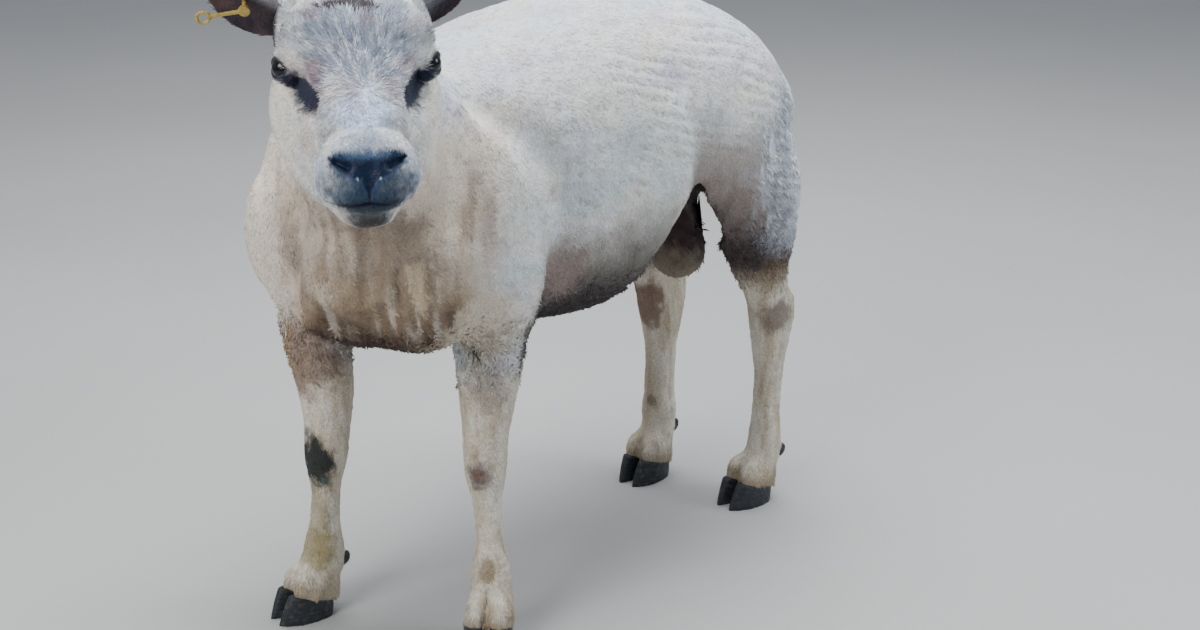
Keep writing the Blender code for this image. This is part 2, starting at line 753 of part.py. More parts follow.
def part_leg(cast, leg, model):
    """Parts a leg into its upper and lower half and sets the claws and dewclaws on it."""
    centre, half_sizes, angles = LEG_BLOCKS[leg]
    upper = part_off(cast, leg + "_upper", Vector(centre), half_sizes, turned(angles), model)
    joint = KNEE_HEIGHT if leg.startswith("fore") else HOCK_HEIGHT
    x, y = at_height(LEGS[leg][0], joint)
    below = (Vector((x, y, 0.0)), (0.13, 0.13, joint), Matrix.Identity(4))
    lower = part_off(upper, leg + "_lower", *below, model)
    middle, forward, side = foot_place(leg)
    sloped = Matrix((side, -forward, Vector((0, 0, 1)))).transposed().to_4x4()
    sloped = sloped @ Matrix.Rotation(-math.atan(CORONET_SLOPE), 4, "X")
    depth = 0.06
    centre = middle + Vector((0.0, 0.0, CORONET_HEIGHT)) - sloped @ Vector((0.0, 0.0, depth))
    hoof_space = block(centre, (0.08, 0.08, depth), sloped, model)
    cut(lower, hoof_space)
    bpy.data.objects.remove(hoof_space)
    for toe, label in ((1, "left"), (-1, "right")):
        shell_of(f"claw_{leg}_{label}", claw(leg, toe), model)
        clear_of(shell_of(f"dewclaw_{leg}_{label}", dewclaw(leg, toe), model), lower, model)


def set_eyes(head, model):
    for side, label in ((1, "left"), (-1, "right")):
        place = head_pose() @ Matrix.Translation((EYE_PLACE.x * side, EYE_PLACE.y, EYE_PLACE.z))
        shapes = []
        for name, radius in ((f"eye_{label}", EYE_RADIUS), ("socket", EYE_RADIUS + GAP)):
            form = bmesh.new()
            bmesh.ops.create_uvsphere(form, u_segments=14, v_segments=9, radius=radius, matrix=place)
            shapes.append(shell_of(name, form, model))
        cut(head, shapes[1])
        bpy.data.objects.remove(shapes[1])
    keep_largest(head)


def trunk_softness(point):
    """1 over the trunk and neck, easing to a little over the head and the legs."""
    towards_head = (point - HEAD_CUT[0]).dot(HEAD_CUT[1].normalized())
    off_head = min(max((0.02 - towards_head) / 0.05, 0.0), 1.0)
    above_legs = min(max((point.z - 0.33) / 0.09, 0.0), 1.0)
    from_flank = (Vector((abs(point.x), point.y, point.z)) - FLANK).length
    return off_head * above_legs * min(max((from_flank - 0.03) / 0.06, 0.15), 1.0)


def centre_on_floor(objects):
    """Moves the whole ram so that the row's origin is the middle of its outline on the floor."""
    corners = [vert.co for obj in objects for vert in obj.data.vertices]
    middle = [(min(c[i] for c in corners) + max(c[i] for c in corners)) / 2 for i in (0, 1)]
    floor = min(c.z for c in corners)
    for obj in objects:
        obj.data.transform(Matrix.Translation((-middle[0], -middle[1], -floor)))


def main():
    for obj in list(bpy.data.objects):
        bpy.data.objects.remove(obj)
    model = new_collection("shorn_sheep")
    form = bmesh.new()
    trunk_forms(form)
    neck_forms(form)
    head_forms(form)
    for leg in LEGS:
        leg_forms(form, leg)
    trunk = fuse(shell_of("trunk", form, model), BODY_TRIANGLES, trunk_softness)
    for fold in FLANK_FOLDS:
        hollow = shell_of("fold", flank_fold_form(*fold), model)
        cut(trunk, hollow)
        bpy.data.objects.remove(hollow)
    for name, make, triangles in (("tail", tail_form, 170), ("scrotum", scrotum_form, 220)):
        clear_of(fuse(shell_of(name, make(), model), triangles), trunk, model)
    head = part_off(trunk, "head", *beyond(HEAD_CUT, 0.25), model)
    part_off(trunk, "neck", *beyond(NECK_CUT, 0.20), model)
    for leg in LEGS:
        part_leg(trunk, leg, model)
    tag = ear_tag(model)
    for label, (side, *angles) in EARS.items():
        leaf = clear_of(ear(f"ear_{label}", side, ear_pose(side, *angles), model), head, model)
        if label == "right":
            clear_of(leaf, tag, model)
    set_eyes(head, model)
    for obj in model.objects:
        slot = next((slot for start, slot in SLOTS if obj.name.startswith(start)), "wool")
        obj.data.materials.clear()
        obj.data.materials.append(material(slot))
    centre_on_floor(list(model.objects))


main()
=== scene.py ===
"""Looks of a shorn ram: one skin over its flesh, short wool and hair, eyes, claws, tag, stage and camera.

Lengths are metres, but the places, radii and heights in tables of marks are millimetres.  Body space is the
row frame moved so that mid trunk stands over the origin, with the ram facing -Y and its left at +X.  Trunk
space takes the bend of the spine out of it.  Head space has its origin near the eyes, the face along -Y and
the forehead up.
"""

import math

import bmesh
import bpy
import numpy as np
from mathutils import Matrix, Vector


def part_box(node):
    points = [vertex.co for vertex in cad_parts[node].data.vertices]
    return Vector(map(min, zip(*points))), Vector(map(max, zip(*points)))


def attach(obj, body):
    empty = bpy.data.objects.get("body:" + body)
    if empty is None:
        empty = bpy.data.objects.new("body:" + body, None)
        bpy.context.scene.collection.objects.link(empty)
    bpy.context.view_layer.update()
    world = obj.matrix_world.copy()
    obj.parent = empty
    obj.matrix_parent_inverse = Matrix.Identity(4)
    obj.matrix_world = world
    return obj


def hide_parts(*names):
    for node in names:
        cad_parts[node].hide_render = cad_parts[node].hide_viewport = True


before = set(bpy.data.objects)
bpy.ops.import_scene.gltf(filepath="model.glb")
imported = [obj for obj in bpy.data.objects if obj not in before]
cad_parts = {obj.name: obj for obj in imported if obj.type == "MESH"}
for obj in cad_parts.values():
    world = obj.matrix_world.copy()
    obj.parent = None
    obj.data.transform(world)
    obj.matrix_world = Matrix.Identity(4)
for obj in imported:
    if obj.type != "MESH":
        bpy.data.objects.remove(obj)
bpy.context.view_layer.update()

# ---------------------------------------------------------------- driving dimensions
MM = 0.001
VOXEL = 0.0046  # grain of the body's skin, which is halved on the head and legs and again on the face
CLAW_VOXEL = 0.0017
TAG_VOXEL = 0.0006
SWELL = 0.0006  # closes the thin cuts between the solids of the flesh
CORONET = 0.043  # below this height the skin runs on down into the claws
CORONET_DROP = 0.004
WOOL_DEPTH = 0.0016
HAIR_DEPTH = 0.0006
TUFT_FLOOR = 0.004  # no tuft hangs lower

HEAD_YAW = 52.2
HEAD_PITCH = 21.5
HEAD_SPOT = np.array((0.198, -0.474, 0.742))  # origin of head space, in body space
EYE_RADIUS = 0.0155
EYE_REACH = 0.034  # how far from an eye's centre its lids reach
EYE_PLACE = np.array((0.0622, -0.009, 0.0045))
GAZE = np.array((0.888, -0.415, 0.19))
LID_RUN = np.array((0.453, 0.81, -0.373))  # from the inner to the outer corner of the left eye
LID_HALF_LENGTH = 0.86  # radians round the eyeball
LID_RISE = 0.50
LID_DROP = 0.46
LID_TILT = 0.03
LID_EDGE = 0.0004
LID_THICK = 0.0012

EAR_LENGTH = 0.128
EAR_WIDTH = 0.072
EAR_WALL = 0.0034
EAR_ROOT = (0.060, 0.060, 0.010)
EAR_ROOT_DEPTH = 0.014
EARS = {"left": (1, 48.0, 22.0, 20.0), "right": (-1, 30.0, 14.0, 12.0)}  # side, lift, sweep and twist

HEAD_CUT = (np.array((0.116, -0.408, 0.730)), np.array((0.585, -0.611, 0.532)))
WHORL = np.array((0.003, -0.088, 0.030))  # where the face's hair parts

SPINE_RADIUS = 2.292  # the trunk bends towards the left
SPINE_CENTRE = np.array((2.275, 0.0))
CHEST_WAY = np.array((0.64, -0.77, 0.0))  # the way the chest faces in the photo, in body space
CHEST_ACROSS = np.array((0.77, 0.64, 0.0))
COMB_STEP = 0.030  # between two ridges that the shearing comb left

LEGS = [f"{pair}leg_{side}" for pair in ("fore", "hind") for side in ("left", "right")]
FLESH = ["head", "neck", "trunk", "tail", "scrotum"]
FLESH += [f"{leg}_{part}" for leg in LEGS for part in ("upper", "lower")]


def turned(a, b, c):
    a, b, c = (math.radians(angle) for angle in (a, b, c))
    return Matrix.Rotation(c, 4, "Z") @ Matrix.Rotation(b, 4, "Y") @ Matrix.Rotation(a, 4, "X")


def middle(*nodes):
    """The mean of the middles of some nodes' boxes."""
    return sum(np.array(corner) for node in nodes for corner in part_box(node)) / 2 / len(nodes)


HEAD_AXES = np.array(turned(HEAD_PITCH, 0, HEAD_YAW).to_3x3())
HEAD_AT = middle("eye_left", "eye_right") - HEAD_AXES @ (EYE_PLACE * np.array((0, 1, 1)))
ORIGIN = HEAD_AT - HEAD_SPOT


# ---------------------------------------------------------------- numbers
def ease(low, high, value):
    """0 below low, 1 above high and a smooth rise between."""
    share = np.clip((value - low) / (high - low), 0.0, 1.0)
    return share * share * (3 - 2 * share)


def fade(low, high, value):
    """1 below low, 0 above high and a smooth fall between."""
    return 1 - ease(low, high, value)


def bell(value, centre=0.0, width=1.0):
    return np.exp(-(((value - centre) / width) ** 2))


def unit(vectors):
    return vectors / np.maximum(np.linalg.norm(vectors, axis=-1, keepdims=True), 1e-9)


def mix(base, other, share):
    share = np.clip(share, 0, 1)[:, None]
    return base * (1 - share) + other * share


def grain(points, size, seed=0, octaves=1):
    """Smooth random field from -1 to 1 with features about so many metres across."""
    total = np.zeros(len(points))
    reach = 0.0
    for octave in range(octaves):
        spot = points / size * 2**octave + 31.7 * (seed + octave)
        cell = np.floor(spot).astype(np.int64)
        part = spot - cell
        part = part * part * (3 - 2 * part)
        field = np.zeros(len(points))
        for corner in np.ndindex(2, 2, 2):
            x, y, z = (cell + np.array(corner)).T
            mixed = (x * 73856093) ^ (y * 19349663) ^ (z * 83492791) ^ (seed * 2654435761)
            mixed = (mixed * 1103515245 + 12345) & 0x7FFFFFFF
            mixed = ((mixed >> 7) * 69069 + 1) & 0xFFFFF
            weight = np.prod(np.where(np.array(corner) == 1, part, 1 - part), axis=1)
            field += weight * (mixed / 0x7FFFF - 1.0)
        total += field * 0.5**octave
        reach += 0.5**octave
    return total / reach * 1.4


# ---------------------------------------------------------------- spaces and distances
def to_head(points):
    return (points - HEAD_AT) @ HEAD_AXES


def from_head(points):
    return points @ HEAD_AXES.T + HEAD_AT


def to_body(points):
    return points - ORIGIN


def to_trunk(points):
    """Body space with the bend of the spine taken out: left, back, up."""
    body = to_body(points)
    apart = body[:, :2] - SPINE_CENTRE
    left = SPINE_RADIUS - np.hypot(*apart.T)
    back = np.arctan2(apart[:, 1], -apart[:, 0]) * SPINE_RADIUS
    return np.stack([left, back, body[:, 2]], 1)


def both_sides(points):
    return np.stack([np.abs(points[:, 0]), points[:, 1], points[:, 2]], 1)


def to_face(points):
    """Head space with its right side folded onto the left."""
    return both_sides(to_head(points))


def to_flank(points):
    """Trunk space with its right side folded onto the left."""
    return both_sides(to_trunk(points))


def within(points, centre, radii):
    """Distance from a centre in radii, both in millimetres: 1 on the ellipsoid."""
    return np.linalg.norm((points - np.array(centre) * MM) / (np.array(radii) * MM), axis=1)


def beside(points, path, through=np.zeros(3)):
    """Distance to a path in millimetres, in the radius that each corner gives as a fourth number.

    Along the direction named by through only a quarter of the distance counts, so that a mark holds
    its place where the skin is hollowed.
    """
    best = np.full(len(points), 9.0)
    for start, end in zip(path[:-1], path[1:]):
        start, run = np.array(start) * MM, (np.array(end) - np.array(start)) * MM
        flat = run[:3] - (run[:3] @ through) * through
        apart = points - start[:3]
        apart = apart - 0.75 * (apart @ through)[:, None] * through
        share = np.clip(apart @ flat / (flat @ flat), 0, 1)
        apart = apart - share[:, None] * (run[:3] - 0.75 * (run[:3] @ through) * through)
        best = np.minimum(best, np.linalg.norm(apart, axis=1) / (start[3] + share * run[3]))
    return best


def thin(path, share):
    return [(*corner, radius * share) for *corner, radius in path]


def even(path, radius):
    return [(*corner[:3], radius) for corner in path]


# ---------------------------------------------------------------- meshes
def add_object(name, mesh):
    obj = bpy.data.objects.new(name, mesh)
    bpy.context.scene.collection.objects.link(obj)
    return obj


def get(items, key, width=3, kind=np.float32):
    out = np.empty(len(items) * width, kind)
    items.foreach_get(key, out)
    return out.reshape(-1, width)


def places(mesh):
    return get(mesh.vertices, "co").astype(float)


def facings(mesh):
    return get(mesh.vertices, "normal").astype(float)


def links(mesh):
    return get(mesh.edges, "vertices", 2, np.int32)


def put(obj, points):
    obj.data.vertices.foreach_set("co", points.astype(np.float32).ravel())
    obj.data.update()


def mesh_of(name, points, faces):
    mesh = bpy.data.meshes.new(name)
    mesh.vertices.add(len(points))
    mesh.vertices.foreach_set("co", np.asarray(points, np.float32).ravel())
    mesh.loops.add(faces.size)
    mesh.loops.foreach_set("vertex_index", faces.ravel().astype(np.int32))
    mesh.polygons.add(len(faces))
    mesh.polygons.foreach_set("loop_start", np.arange(len(faces), dtype=np.int32) * faces.shape[1])
    mesh.update(calc_edges=True)
    mesh.shade_smooth()
    return mesh


def cast(name, nodes, voxel, swell=0.0, drop=0.0):
    """Copies of CAD solids fused into one even mesh of small squares."""
    form = bmesh.new()
    for node in nodes:
        piece = bmesh.new()
        piece.from_mesh(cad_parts[node].data)
        bmesh.ops.remove_doubles(piece, verts=piece.verts[:], dist=1e-6)
        bmesh.ops.recalc_face_normals(piece, faces=piece.faces[:])
        piece.normal_update()
        for vert, move in [(vert, vert.normal * swell) for vert in piece.verts]:
            vert.co += move
            if vert.co.z < CORONET:
                vert.co.z -= drop
        mesh = bpy.data.meshes.new("piece")
        piece.to_mesh(mesh)
        form.from_mesh(mesh)
    mesh = bpy.data.meshes.new(name)
    form.to_mesh(mesh)
    obj = add_object(name, mesh)
    step = obj.modifiers.new("fuse", "REMESH")
    step.mode = "VOXEL"
    step.voxel_size = voxel
    graph = bpy.context.evaluated_depsgraph_get()
    mesh = bpy.data.meshes.new_from_object(obj.evaluated_get(graph))
    obj.modifiers.clear()
    obj.data = mesh
    return obj


def keep_largest(obj):
    """Drops the small shells that are left where two solids met."""
    edges = links(obj.data)
    label = np.arange(len(obj.data.vertices))
    while True:
        low = np.minimum(label[edges[:, 0]], label[edges[:, 1]])
        fresh = label.copy()
        np.minimum.at(fresh, edges[:, 0], low)
        np.minimum.at(fresh, edges[:, 1], low)
        fresh = fresh[fresh]
        if (fresh == label).all():
            break
        label = fresh
    names, counts = np.unique(label, return_counts=True)
    form = bmesh.new()
    form.from_mesh(obj.data)
    form.verts.ensure_lookup_table()
    stray = np.nonzero(label != names[np.argmax(counts)])[0]
    bmesh.ops.delete(form, geom=[form.verts[i] for i in stray], context="VERTS")
    form.to_mesh(obj.data)
    return obj


def relax(points, edges, passes, share):
    """Moves each point towards the mean of its neighbours, by its own share."""
    points = points.copy()
    size = len(points)
    count = np.maximum(np.bincount(edges.ravel(), minlength=size), 1)[:, None]
    a, b = edges.T
    for _ in range(passes):
        total = [np.bincount(a, axis[b], size) + np.bincount(b, axis[a], size) for axis in points.T]
        points += share[:, None] * (np.stack(total, 1) / count - points)
    return points


def refine(obj, chosen, passes=3):
    """Splits the squares of a region in four and rounds the result."""
    mask = chosen(places(obj.data))
    form = bmesh.new()
    form.from_mesh(obj.data)
    edges = [edge for edge in form.edges if all(mask[vert.index] for vert in edge.verts)]
    bmesh.ops.subdivide_edges(form, edges=edges, cuts=1, use_grid_fill=True)
    form.to_mesh(obj.data)
    points = places(obj.data)
    put(obj, relax(points, links(obj.data), passes, chosen(points) * 0.5))


# ---------------------------------------------------------------- regions of the body
def past_head_cut(points):
    """Distance in front of the plane that parts the head from the neck."""
    point, direction = HEAD_CUT
    return (to_body(points) - point) @ unit(direction)


def head_share(points):
    """1 on the head and 0 behind it."""
    return ease(-0.02, 0.012, past_head_cut(points))


def leg_share(points):
    return fade(0.30, 0.36, points[:, 2])


def eye_axes():
    """The left eye's axes in head space: along the lids, across them and out."""
    out = unit(GAZE)
    run = unit(LID_RUN - (LID_RUN @ out) * out)
    rise = np.cross(run, out)
    return run, rise * np.sign(rise[2]), out


def eye_space(points, side):
    """Distance from an eye's centre, angles along and across its lids, and how much a point faces out."""
    run, rise, out = eye_axes()
    local = to_head(points) * np.array((side, 1, 1)) - EYE_PLACE
    ray = unit(local)
    along, across = (np.arcsin(np.clip(ray @ axis, -1, 1)) for axis in (run, rise))
    return np.linalg.norm(local, axis=1), along, across, ray @ out


def lid_margin(points, side):
    """How far inside the opening of the lids a point lies, in metres; negative outside."""
    distance, along, across, facing = eye_space(points, side)
    arch = 1 - np.abs(along / LID_HALF_LENGTH) ** 1.8
    upper = LID_RISE * arch + LID_TILT
    lower = -LID_DROP * arch + LID_TILT
    margin = np.minimum(upper - across, across - lower) * EYE_RADIUS
    return np.where((facing > 0.1) & (distance < EYE_REACH), margin, -0.03), distance


def feet():
    """For each foot: the middle of its claws, the way it points and the middle of its dewclaws."""
    found = []
    for leg in LEGS:
        toes, spurs = (middle(f"{kind}_{leg}_left", f"{kind}_{leg}_right") for kind in ("claw", "dewclaw"))
        found.append((toes, unit((toes - spurs) * np.array((1, 1, 0))), spurs))
    return found


def foot_space(points, centre, ahead):
    """Distance from a foot's middle plane, place along it and height."""
    side = np.array((-ahead[1], ahead[0], 0.0))
    return np.stack([np.abs((points - centre) @ side), (points - centre) @ ahead, points[:, 2]], 1)


# ---------------------------------------------------------------- marks that shape and colour share
# head space, with the way that some of them face
BROW = [(66, 4, 40, 8), (65.5, -12, 27.5, 7), (61, -26, 20, 6), (54, -44, 21.5, 7), (44, -66, 26.5, 9)]
PIT = [(63, -20.5, 4, 6.4), (60, -31, -1, 14.5), (52, -52, 2, 18), (45, -71, 8, 14)]
NOSTRIL = [(32.5, -152.5, 3.6, 2), (28, -157, 3, 4.4), (19, -162.5, 1.2, 6.4), (8, -167, -0.8, 6.8)]
STEM = [(0, -167.5, 1.2, 8.4), (0, -172, -5.5, 6.8), (0, -175, -11, 4.6)]
PHILTRUM = [(0, -175, -11.4, 2.6), (0, -177, -19, 1.3), (0, -177.4, -29, 1.3)]
MOUTH = [(0, -177.6, -29.8, 2), (10, -176.8, -31.6, 2.8), (19.2, -174.8, -34.6, 2)]
LIPS = MOUTH + [(30, -169, -38.5, 1.4), (40, -150, -43, 1.2), (44.5, -118, -47, 1)]
DOME_EDGE = [(58, 28, 49), (67, 16, 38), (69.5, 5, 32.5), (70, -3, 27)]
MUZZLE_BACK = [(22, -128, 23, 9), (38, -122, 11, 9), (45, -114, -12, 9), (44, -114, -42, 9)]
PIT_WAY = unit(np.array((0.62, -0.62, 0.30)))
NOSE_WAY = unit(np.array((0.0, -0.87, 0.50)))
FRONT_WAY = np.array((0.0, -1.0, 0.0))
# body space
GROIN = (26, 236, 432)
STRAND = [(37, 230, 412, 9), (47, 223, 400, 9), (58, 215, 394, 9), (72, 199, 395, 9)]
# foot space, from the middle of the claws and from the middle of the dewclaws
TOE_PARTING = [(0, 12.5, 32, 5.6), (0, 10.5, 48, 5), (0, 3, 60, 4), (0, -3, 72, 2.6)]
HEEL_PARTING = [(0, -46, 28, 5.5), (0, -49, 50, 5)]
TENDON = [(19, 20, 110, 5), (18, 20, 185, 5)]


# ---------------------------------------------------------------- skin
class Clay:
    """A skin's points, with brushes that move them along their normals."""

    def __init__(self, obj):
        self.obj = obj
        self.edges = links(obj.data)
        self.points, self.normals = places(obj.data), facings(obj.data)

    def apply(self):
        put(self.obj, self.points)
        self.points, self.normals = places(self.obj.data), facings(self.obj.data)

    def move(self, amount):
        self.points += self.normals * amount[:, None]
        self.apply()

    def smooth(self, passes, share):
        self.points = relax(self.points, self.edges, passes, share)
        self.apply()

    def sculpt(self, space, touches):
        """Soft mounds and ridges, or hollows and furrows where the height is negative.

        A touch is a centre with radii, or a path with its own radii, and then the height.
        """
        for *place, height in touches:
            spot = (within if len(place) == 2 else beside)(space(self.points), *place)
            self.move(bell(spot) * height * MM)


# trunk space, the same on both sides
TRUNK_FORM = (
    (
        [(118, -240, 660, 22), (132, -176, 600, 24), (148, -136, 545, 24)]
        + [(152, -135, 490, 22), (148, -148, 440, 18), (135, -160, 405, 16)],
        -12.5,
    ),  # behind the arm
    ((148, -225, 500), (30, 40, 75), 3),  # upper arm
    ([(120, -300, 655, 16), (134, -235, 600, 16), (148, -200, 540, 16), (150, -200, 470, 14)], 4.5),
    ([(130, -330, 620, 14), (142, -300, 570, 14), (148, -280, 500, 14)], -2.6),
    ([(145, 85, 620, 22), (160, 100, 560, 20), (156, 112, 505, 16)], -5),
    ((138, 60, 625), (40, 60, 40), -3),  # hollow of the flank
    ([(150, 262, 600, 16), (156, 240, 520, 16), (152, 230, 440, 16)], -2.8),
    ((130, 325, 540), (30, 40, 50), 2),
)
# body space, one side each, as the chest hangs in the photo's pose
CHEST_FORM = (
    ([(24, -415, 570, 18), (10, -412, 500, 18), (-28, -392, 450, 14)], -10),
    ([(124, -395, 560, 18), (108, -388, 513, 18), (100, -386, 465, 16)], -10),
    ([(132, -360, 510, 9), (136, -347, 460, 8), (130, -326, 420, 7)], 4),
    ([(116, -362, 490, 7), (120, -350, 450, 6), (114, -330, 415, 6)], -3),
    ((50, -402, 475), (40, 40, 50), 5.5),
    ((-64, -385, 514), (40, 40, 55), 4),
    ([(-40, -392, 452, 9), (-46, -376, 420, 9), (-20, -368, 402, 9)], 6),
    ([(-20, -394, 440, 6), (-12, -384, 420, 6), (10, -374, 412, 6)], -6),
    ([(160, -350, 640, 10), (158, -325, 590, 10), (156, -315, 540, 10)], -3),
    ([(172, -376, 640, 8), (160, -350, 585, 8)], 2.4),
)
# head space, the same on both sides
FACE_FORM = (
    ((26, -26, 55), (30, 36, 30), 2.2),  # forehead
    (BROW, 3.6),
    (PIT, -7.5),
    ([(68, -22, -24, 8), (60, -48, -17, 9), (50, -74, -6, 9)], 2.2),  # under the pit
    ((0, -110, 30), (15, 40, 20), 2),  # nose bone
    ([(70, 4, -26, 12), (63, -40, -30, 11), (50, -85, -24, 10)], 2.2),  # cheek bone
    ([(74, 10, -56, 14), (63, -50, -60, 12), (50, -85, -66, 10)], -1.8),  # above the jaw
    (MUZZLE_BACK, -5.6),
    ((37, -148, -12), (13, 20, 20), 2.6),  # side of the muzzle
    ((24, -153, 12.5), (12, 9, 6), 3),  # wing of the nostril
    ((0, -156, 11.5), (6, 10, 6), -1.2),
    (thin(NOSTRIL[:3], 0.6), -6.6),
    (thin(STEM[:2], 0.8), -1.6),
    ([(12.5, -171, -6, 5), (12, -174, -13, 5)], 1.2),  # sides of the stem
    (PHILTRUM, -2.6),
    (even(LIPS, 3.2), -4),
    (even(MOUTH, 1.6), -4),
    ([(9, -177, -23, 7), (26, -173, -26, 8)], 2),  # upper lip
    ((0, -172, -43), (20, 14, 8), 1.8),  # lower lip
    ([(0, -168, -54, 4), (20, -160, -52, 4)], -1.2),  # under the lip
    (even(DOME_EDGE, 6), -3),
    (np.array(EAR_ROOT) / MM, (22, 20, 20), 4.5),
)
NOSE_CREASES = [
    ([(0, -134 + 5 * turn, 24 - 3 * turn, 2.2), (22, -130 + 5 * turn, 18 - 3 * turn, 2.2)], -0.6)
    for turn in (0.2, 1.1, 2.0)
]


def make_skin():
    dewclaws = [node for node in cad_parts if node.startswith("dewclaw")]
    nodes = FLESH + ["eye_left", "eye_right"] + dewclaws
    skin = keep_largest(cast("skin", nodes, VOXEL, SWELL, CORONET_DROP))
    clay = Clay(skin)
    clay.smooth(7, 0.5 * ease(0.03, 0.055, clay.points[:, 2]))
    soft = fade(-0.05, -0.01, past_head_cut(clay.points)) * (1 - leg_share(clay.points))
    near_groin = fade(1.0, 1.4, within(to_flank(clay.points), (60, 190, 420), (90, 80, 85)))
    clay.smooth(14, 0.5 * soft * (1 - 0.9 * near_groin))
    haired = np.maximum(head_share(clay.points), leg_share(clay.points))
    clay.move(-(SWELL + WOOL_DEPTH + (HAIR_DEPTH - WOOL_DEPTH) * haired))
    clay.sculpt(to_flank, TRUNK_FORM)
    clay.sculpt(to_body, CHEST_FORM)
    refine(skin, lambda points: (head_share(points) > 0.02) | (points[:, 2] < 0.27))
    refine(skin, lambda points: (head_share(points) > 0.5) & face_detail(points), 2)
    clay = Clay(skin)
    shape_head(clay)
    shape_lids(clay)
    trim_web(clay)
    shape_wool(clay)
    shape_legs(clay)
    return skin


def face_detail(points):
    """The eyes and the muzzle, which need the finest skin."""
    eye = within(to_face(points), EYE_PLACE / MM, (30, 36, 34))
    return (eye < 1) | (to_head(points)[:, 1] < -0.122)


def shape_head(clay):
    """Bone, muscle, folds and the lie of the hair."""
    clay.sculpt(to_face, FACE_FORM)
    head = to_head(clay.points)
    clay.sculpt(to_face, NOSE_CREASES)
    hair = grain(head, 0.0045, 3, 2) * 0.00025 + grain(head, 0.014, 5) * 0.0004
    clay.move(hair * ease(-0.172, -0.155, head[:, 1]) * head_share(clay.points))


def shape_lids(clay):
    """Wraps lids round the eyeballs and opens them."""
    for side in (1, -1):
        margin, distance = lid_margin(clay.points, side)
        centre = from_head(EYE_PLACE * np.array((side, 1, 1)))
        rim, fold = 0.0006 * bell(margin, -0.0020, 0.0014), -0.0011 * bell(margin, -0.0056, 0.0014)
        lid = EYE_RADIUS + 0.0014 + rim + fold
        inside = EYE_RADIUS + 0.0016 - 0.0062 * ease(-LID_EDGE, 0.0016, margin)
        wanted = np.where(margin > -LID_EDGE, inside, lid)
        blend = ease(0.0055, 0.0125, -margin)
        radius = wanted * (1 - blend) + distance * blend
        radius = np.where(margin < -LID_EDGE, np.maximum(radius, EYE_RADIUS + LID_THICK), radius)
        chosen = (distance < EYE_REACH) & ((margin > -0.0125) | (distance < EYE_RADIUS + LID_THICK))
        ray = unit(clay.points - centre)
        clay.points[chosen] = centre + ray[chosen] * radius[chosen, None]
    clay.apply()


def trim_web(clay):
    """Draws a thin strand of flesh beside the scrotum up into the groin."""
    share = fade(0.95, 1.25, beside(to_body(clay.points), STRAND))[:, None]
    clay.points += (ORIGIN + np.array(GROIN) * MM - clay.points) * share
    clay.apply()


def combs(points, power, low):
    """The ridges that the shearing comb left, 1 along their middles."""
    body, (_, back, up) = to_body(points), to_trunk(points).T
    lean = up + 0.30 * back + 0.012 * grain(body, 0.09, 4)
    ridges = np.sin(lean * 2 * math.pi / COMB_STEP) ** power
    return ridges * ease(low, 0.5, grain(body, 0.055, 6)) * ease(-0.20, -0.04, back)


def shape_wool(clay):
    """Pleats of the chest, furrows between the comb's ridges and the ragged belly."""
    body = to_body(clay.points)
    here = (1 - head_share(clay.points)) * (1 - leg_share(clay.points))
    across = body @ CHEST_ACROSS + 0.006 * grain(body, 0.05, 2)
    facing = ease(0.35, 0.8, clay.normals @ CHEST_WAY)
    facing *= ease(0.40, 0.46, body[:, 2]) * fade(0.60, 0.66, body[:, 2])
    pleats = np.sin(across * 2 * math.pi / 0.019) * (0.5 + 0.5 * grain(body, 0.05, 8))
    furrows = combs(clay.points, 6, -0.2)
    _, back, up = to_trunk(clay.points).T
    fold = bell(up - 0.15 * back + 0.004 * grain(body, 0.03, 7), 0.484, 0.003)
    fold *= ease(-0.14, -0.12, back) * fade(-0.06, -0.04, back)
    lumps = grain(body, 0.03, 9, 2) * 0.0010 + grain(body, 0.009, 10, 2) * 0.0005
    lumps += fade(0.385, 0.43, body[:, 2]) * grain(body, 0.009, 12, 2) * 0.0012
    clay.move(facing * here * pleats * 0.0010)
    clay.move(here * (lumps - furrows * 0.0011 + fold * 0.0016))


def shape_legs(clay):
    """Parting of the toes and heels, fetlocks and tendon furrows down the cannons."""
    for toes, ahead, spurs in feet():
        local = foot_space(clay.points, toes, ahead)
        coronet = bell(within(local, (14, 7, 50), (12, 14, 14))) * 0.0016
        parting = bell(beside(local, TOE_PARTING)) * 0.0070
        clay.move(coronet - parting - bell(beside(local, HEEL_PARTING)) * 0.0050)
        local = foot_space(clay.points, spurs, ahead)
        fetlock = bell(within(local, (0, 10, 88), (22, 12, 16))) * 0.0020
        clay.move(fetlock - bell(beside(local, TENDON)) * 0.0016)
    clay.move(leg_share(clay.points) * grain(to_body(clay.points), 0.008, 14, 2) * 0.0004)


# ---------------------------------------------------------------- ears
def ear_pose(side, lift, sweep, twist):
    root = Matrix.Translation((EAR_ROOT[0] * side, EAR_ROOT[1], EAR_ROOT[2]))
    head = Matrix.Translation(HEAD_AT) @ turned(HEAD_PITCH, 0, HEAD_YAW)
    return head @ root @ turned(0, 0, sweep * side) @ turned(0, -lift * side, 0) @ turned(twist, 0, 0)


def ear_half(along):
    """Half an ear's width in half its greatest width, before its tip rounds off."""
    return 0.34 + 0.66 * np.sin(math.pi * np.clip(along / 0.9, 0, 1) ** 0.85)


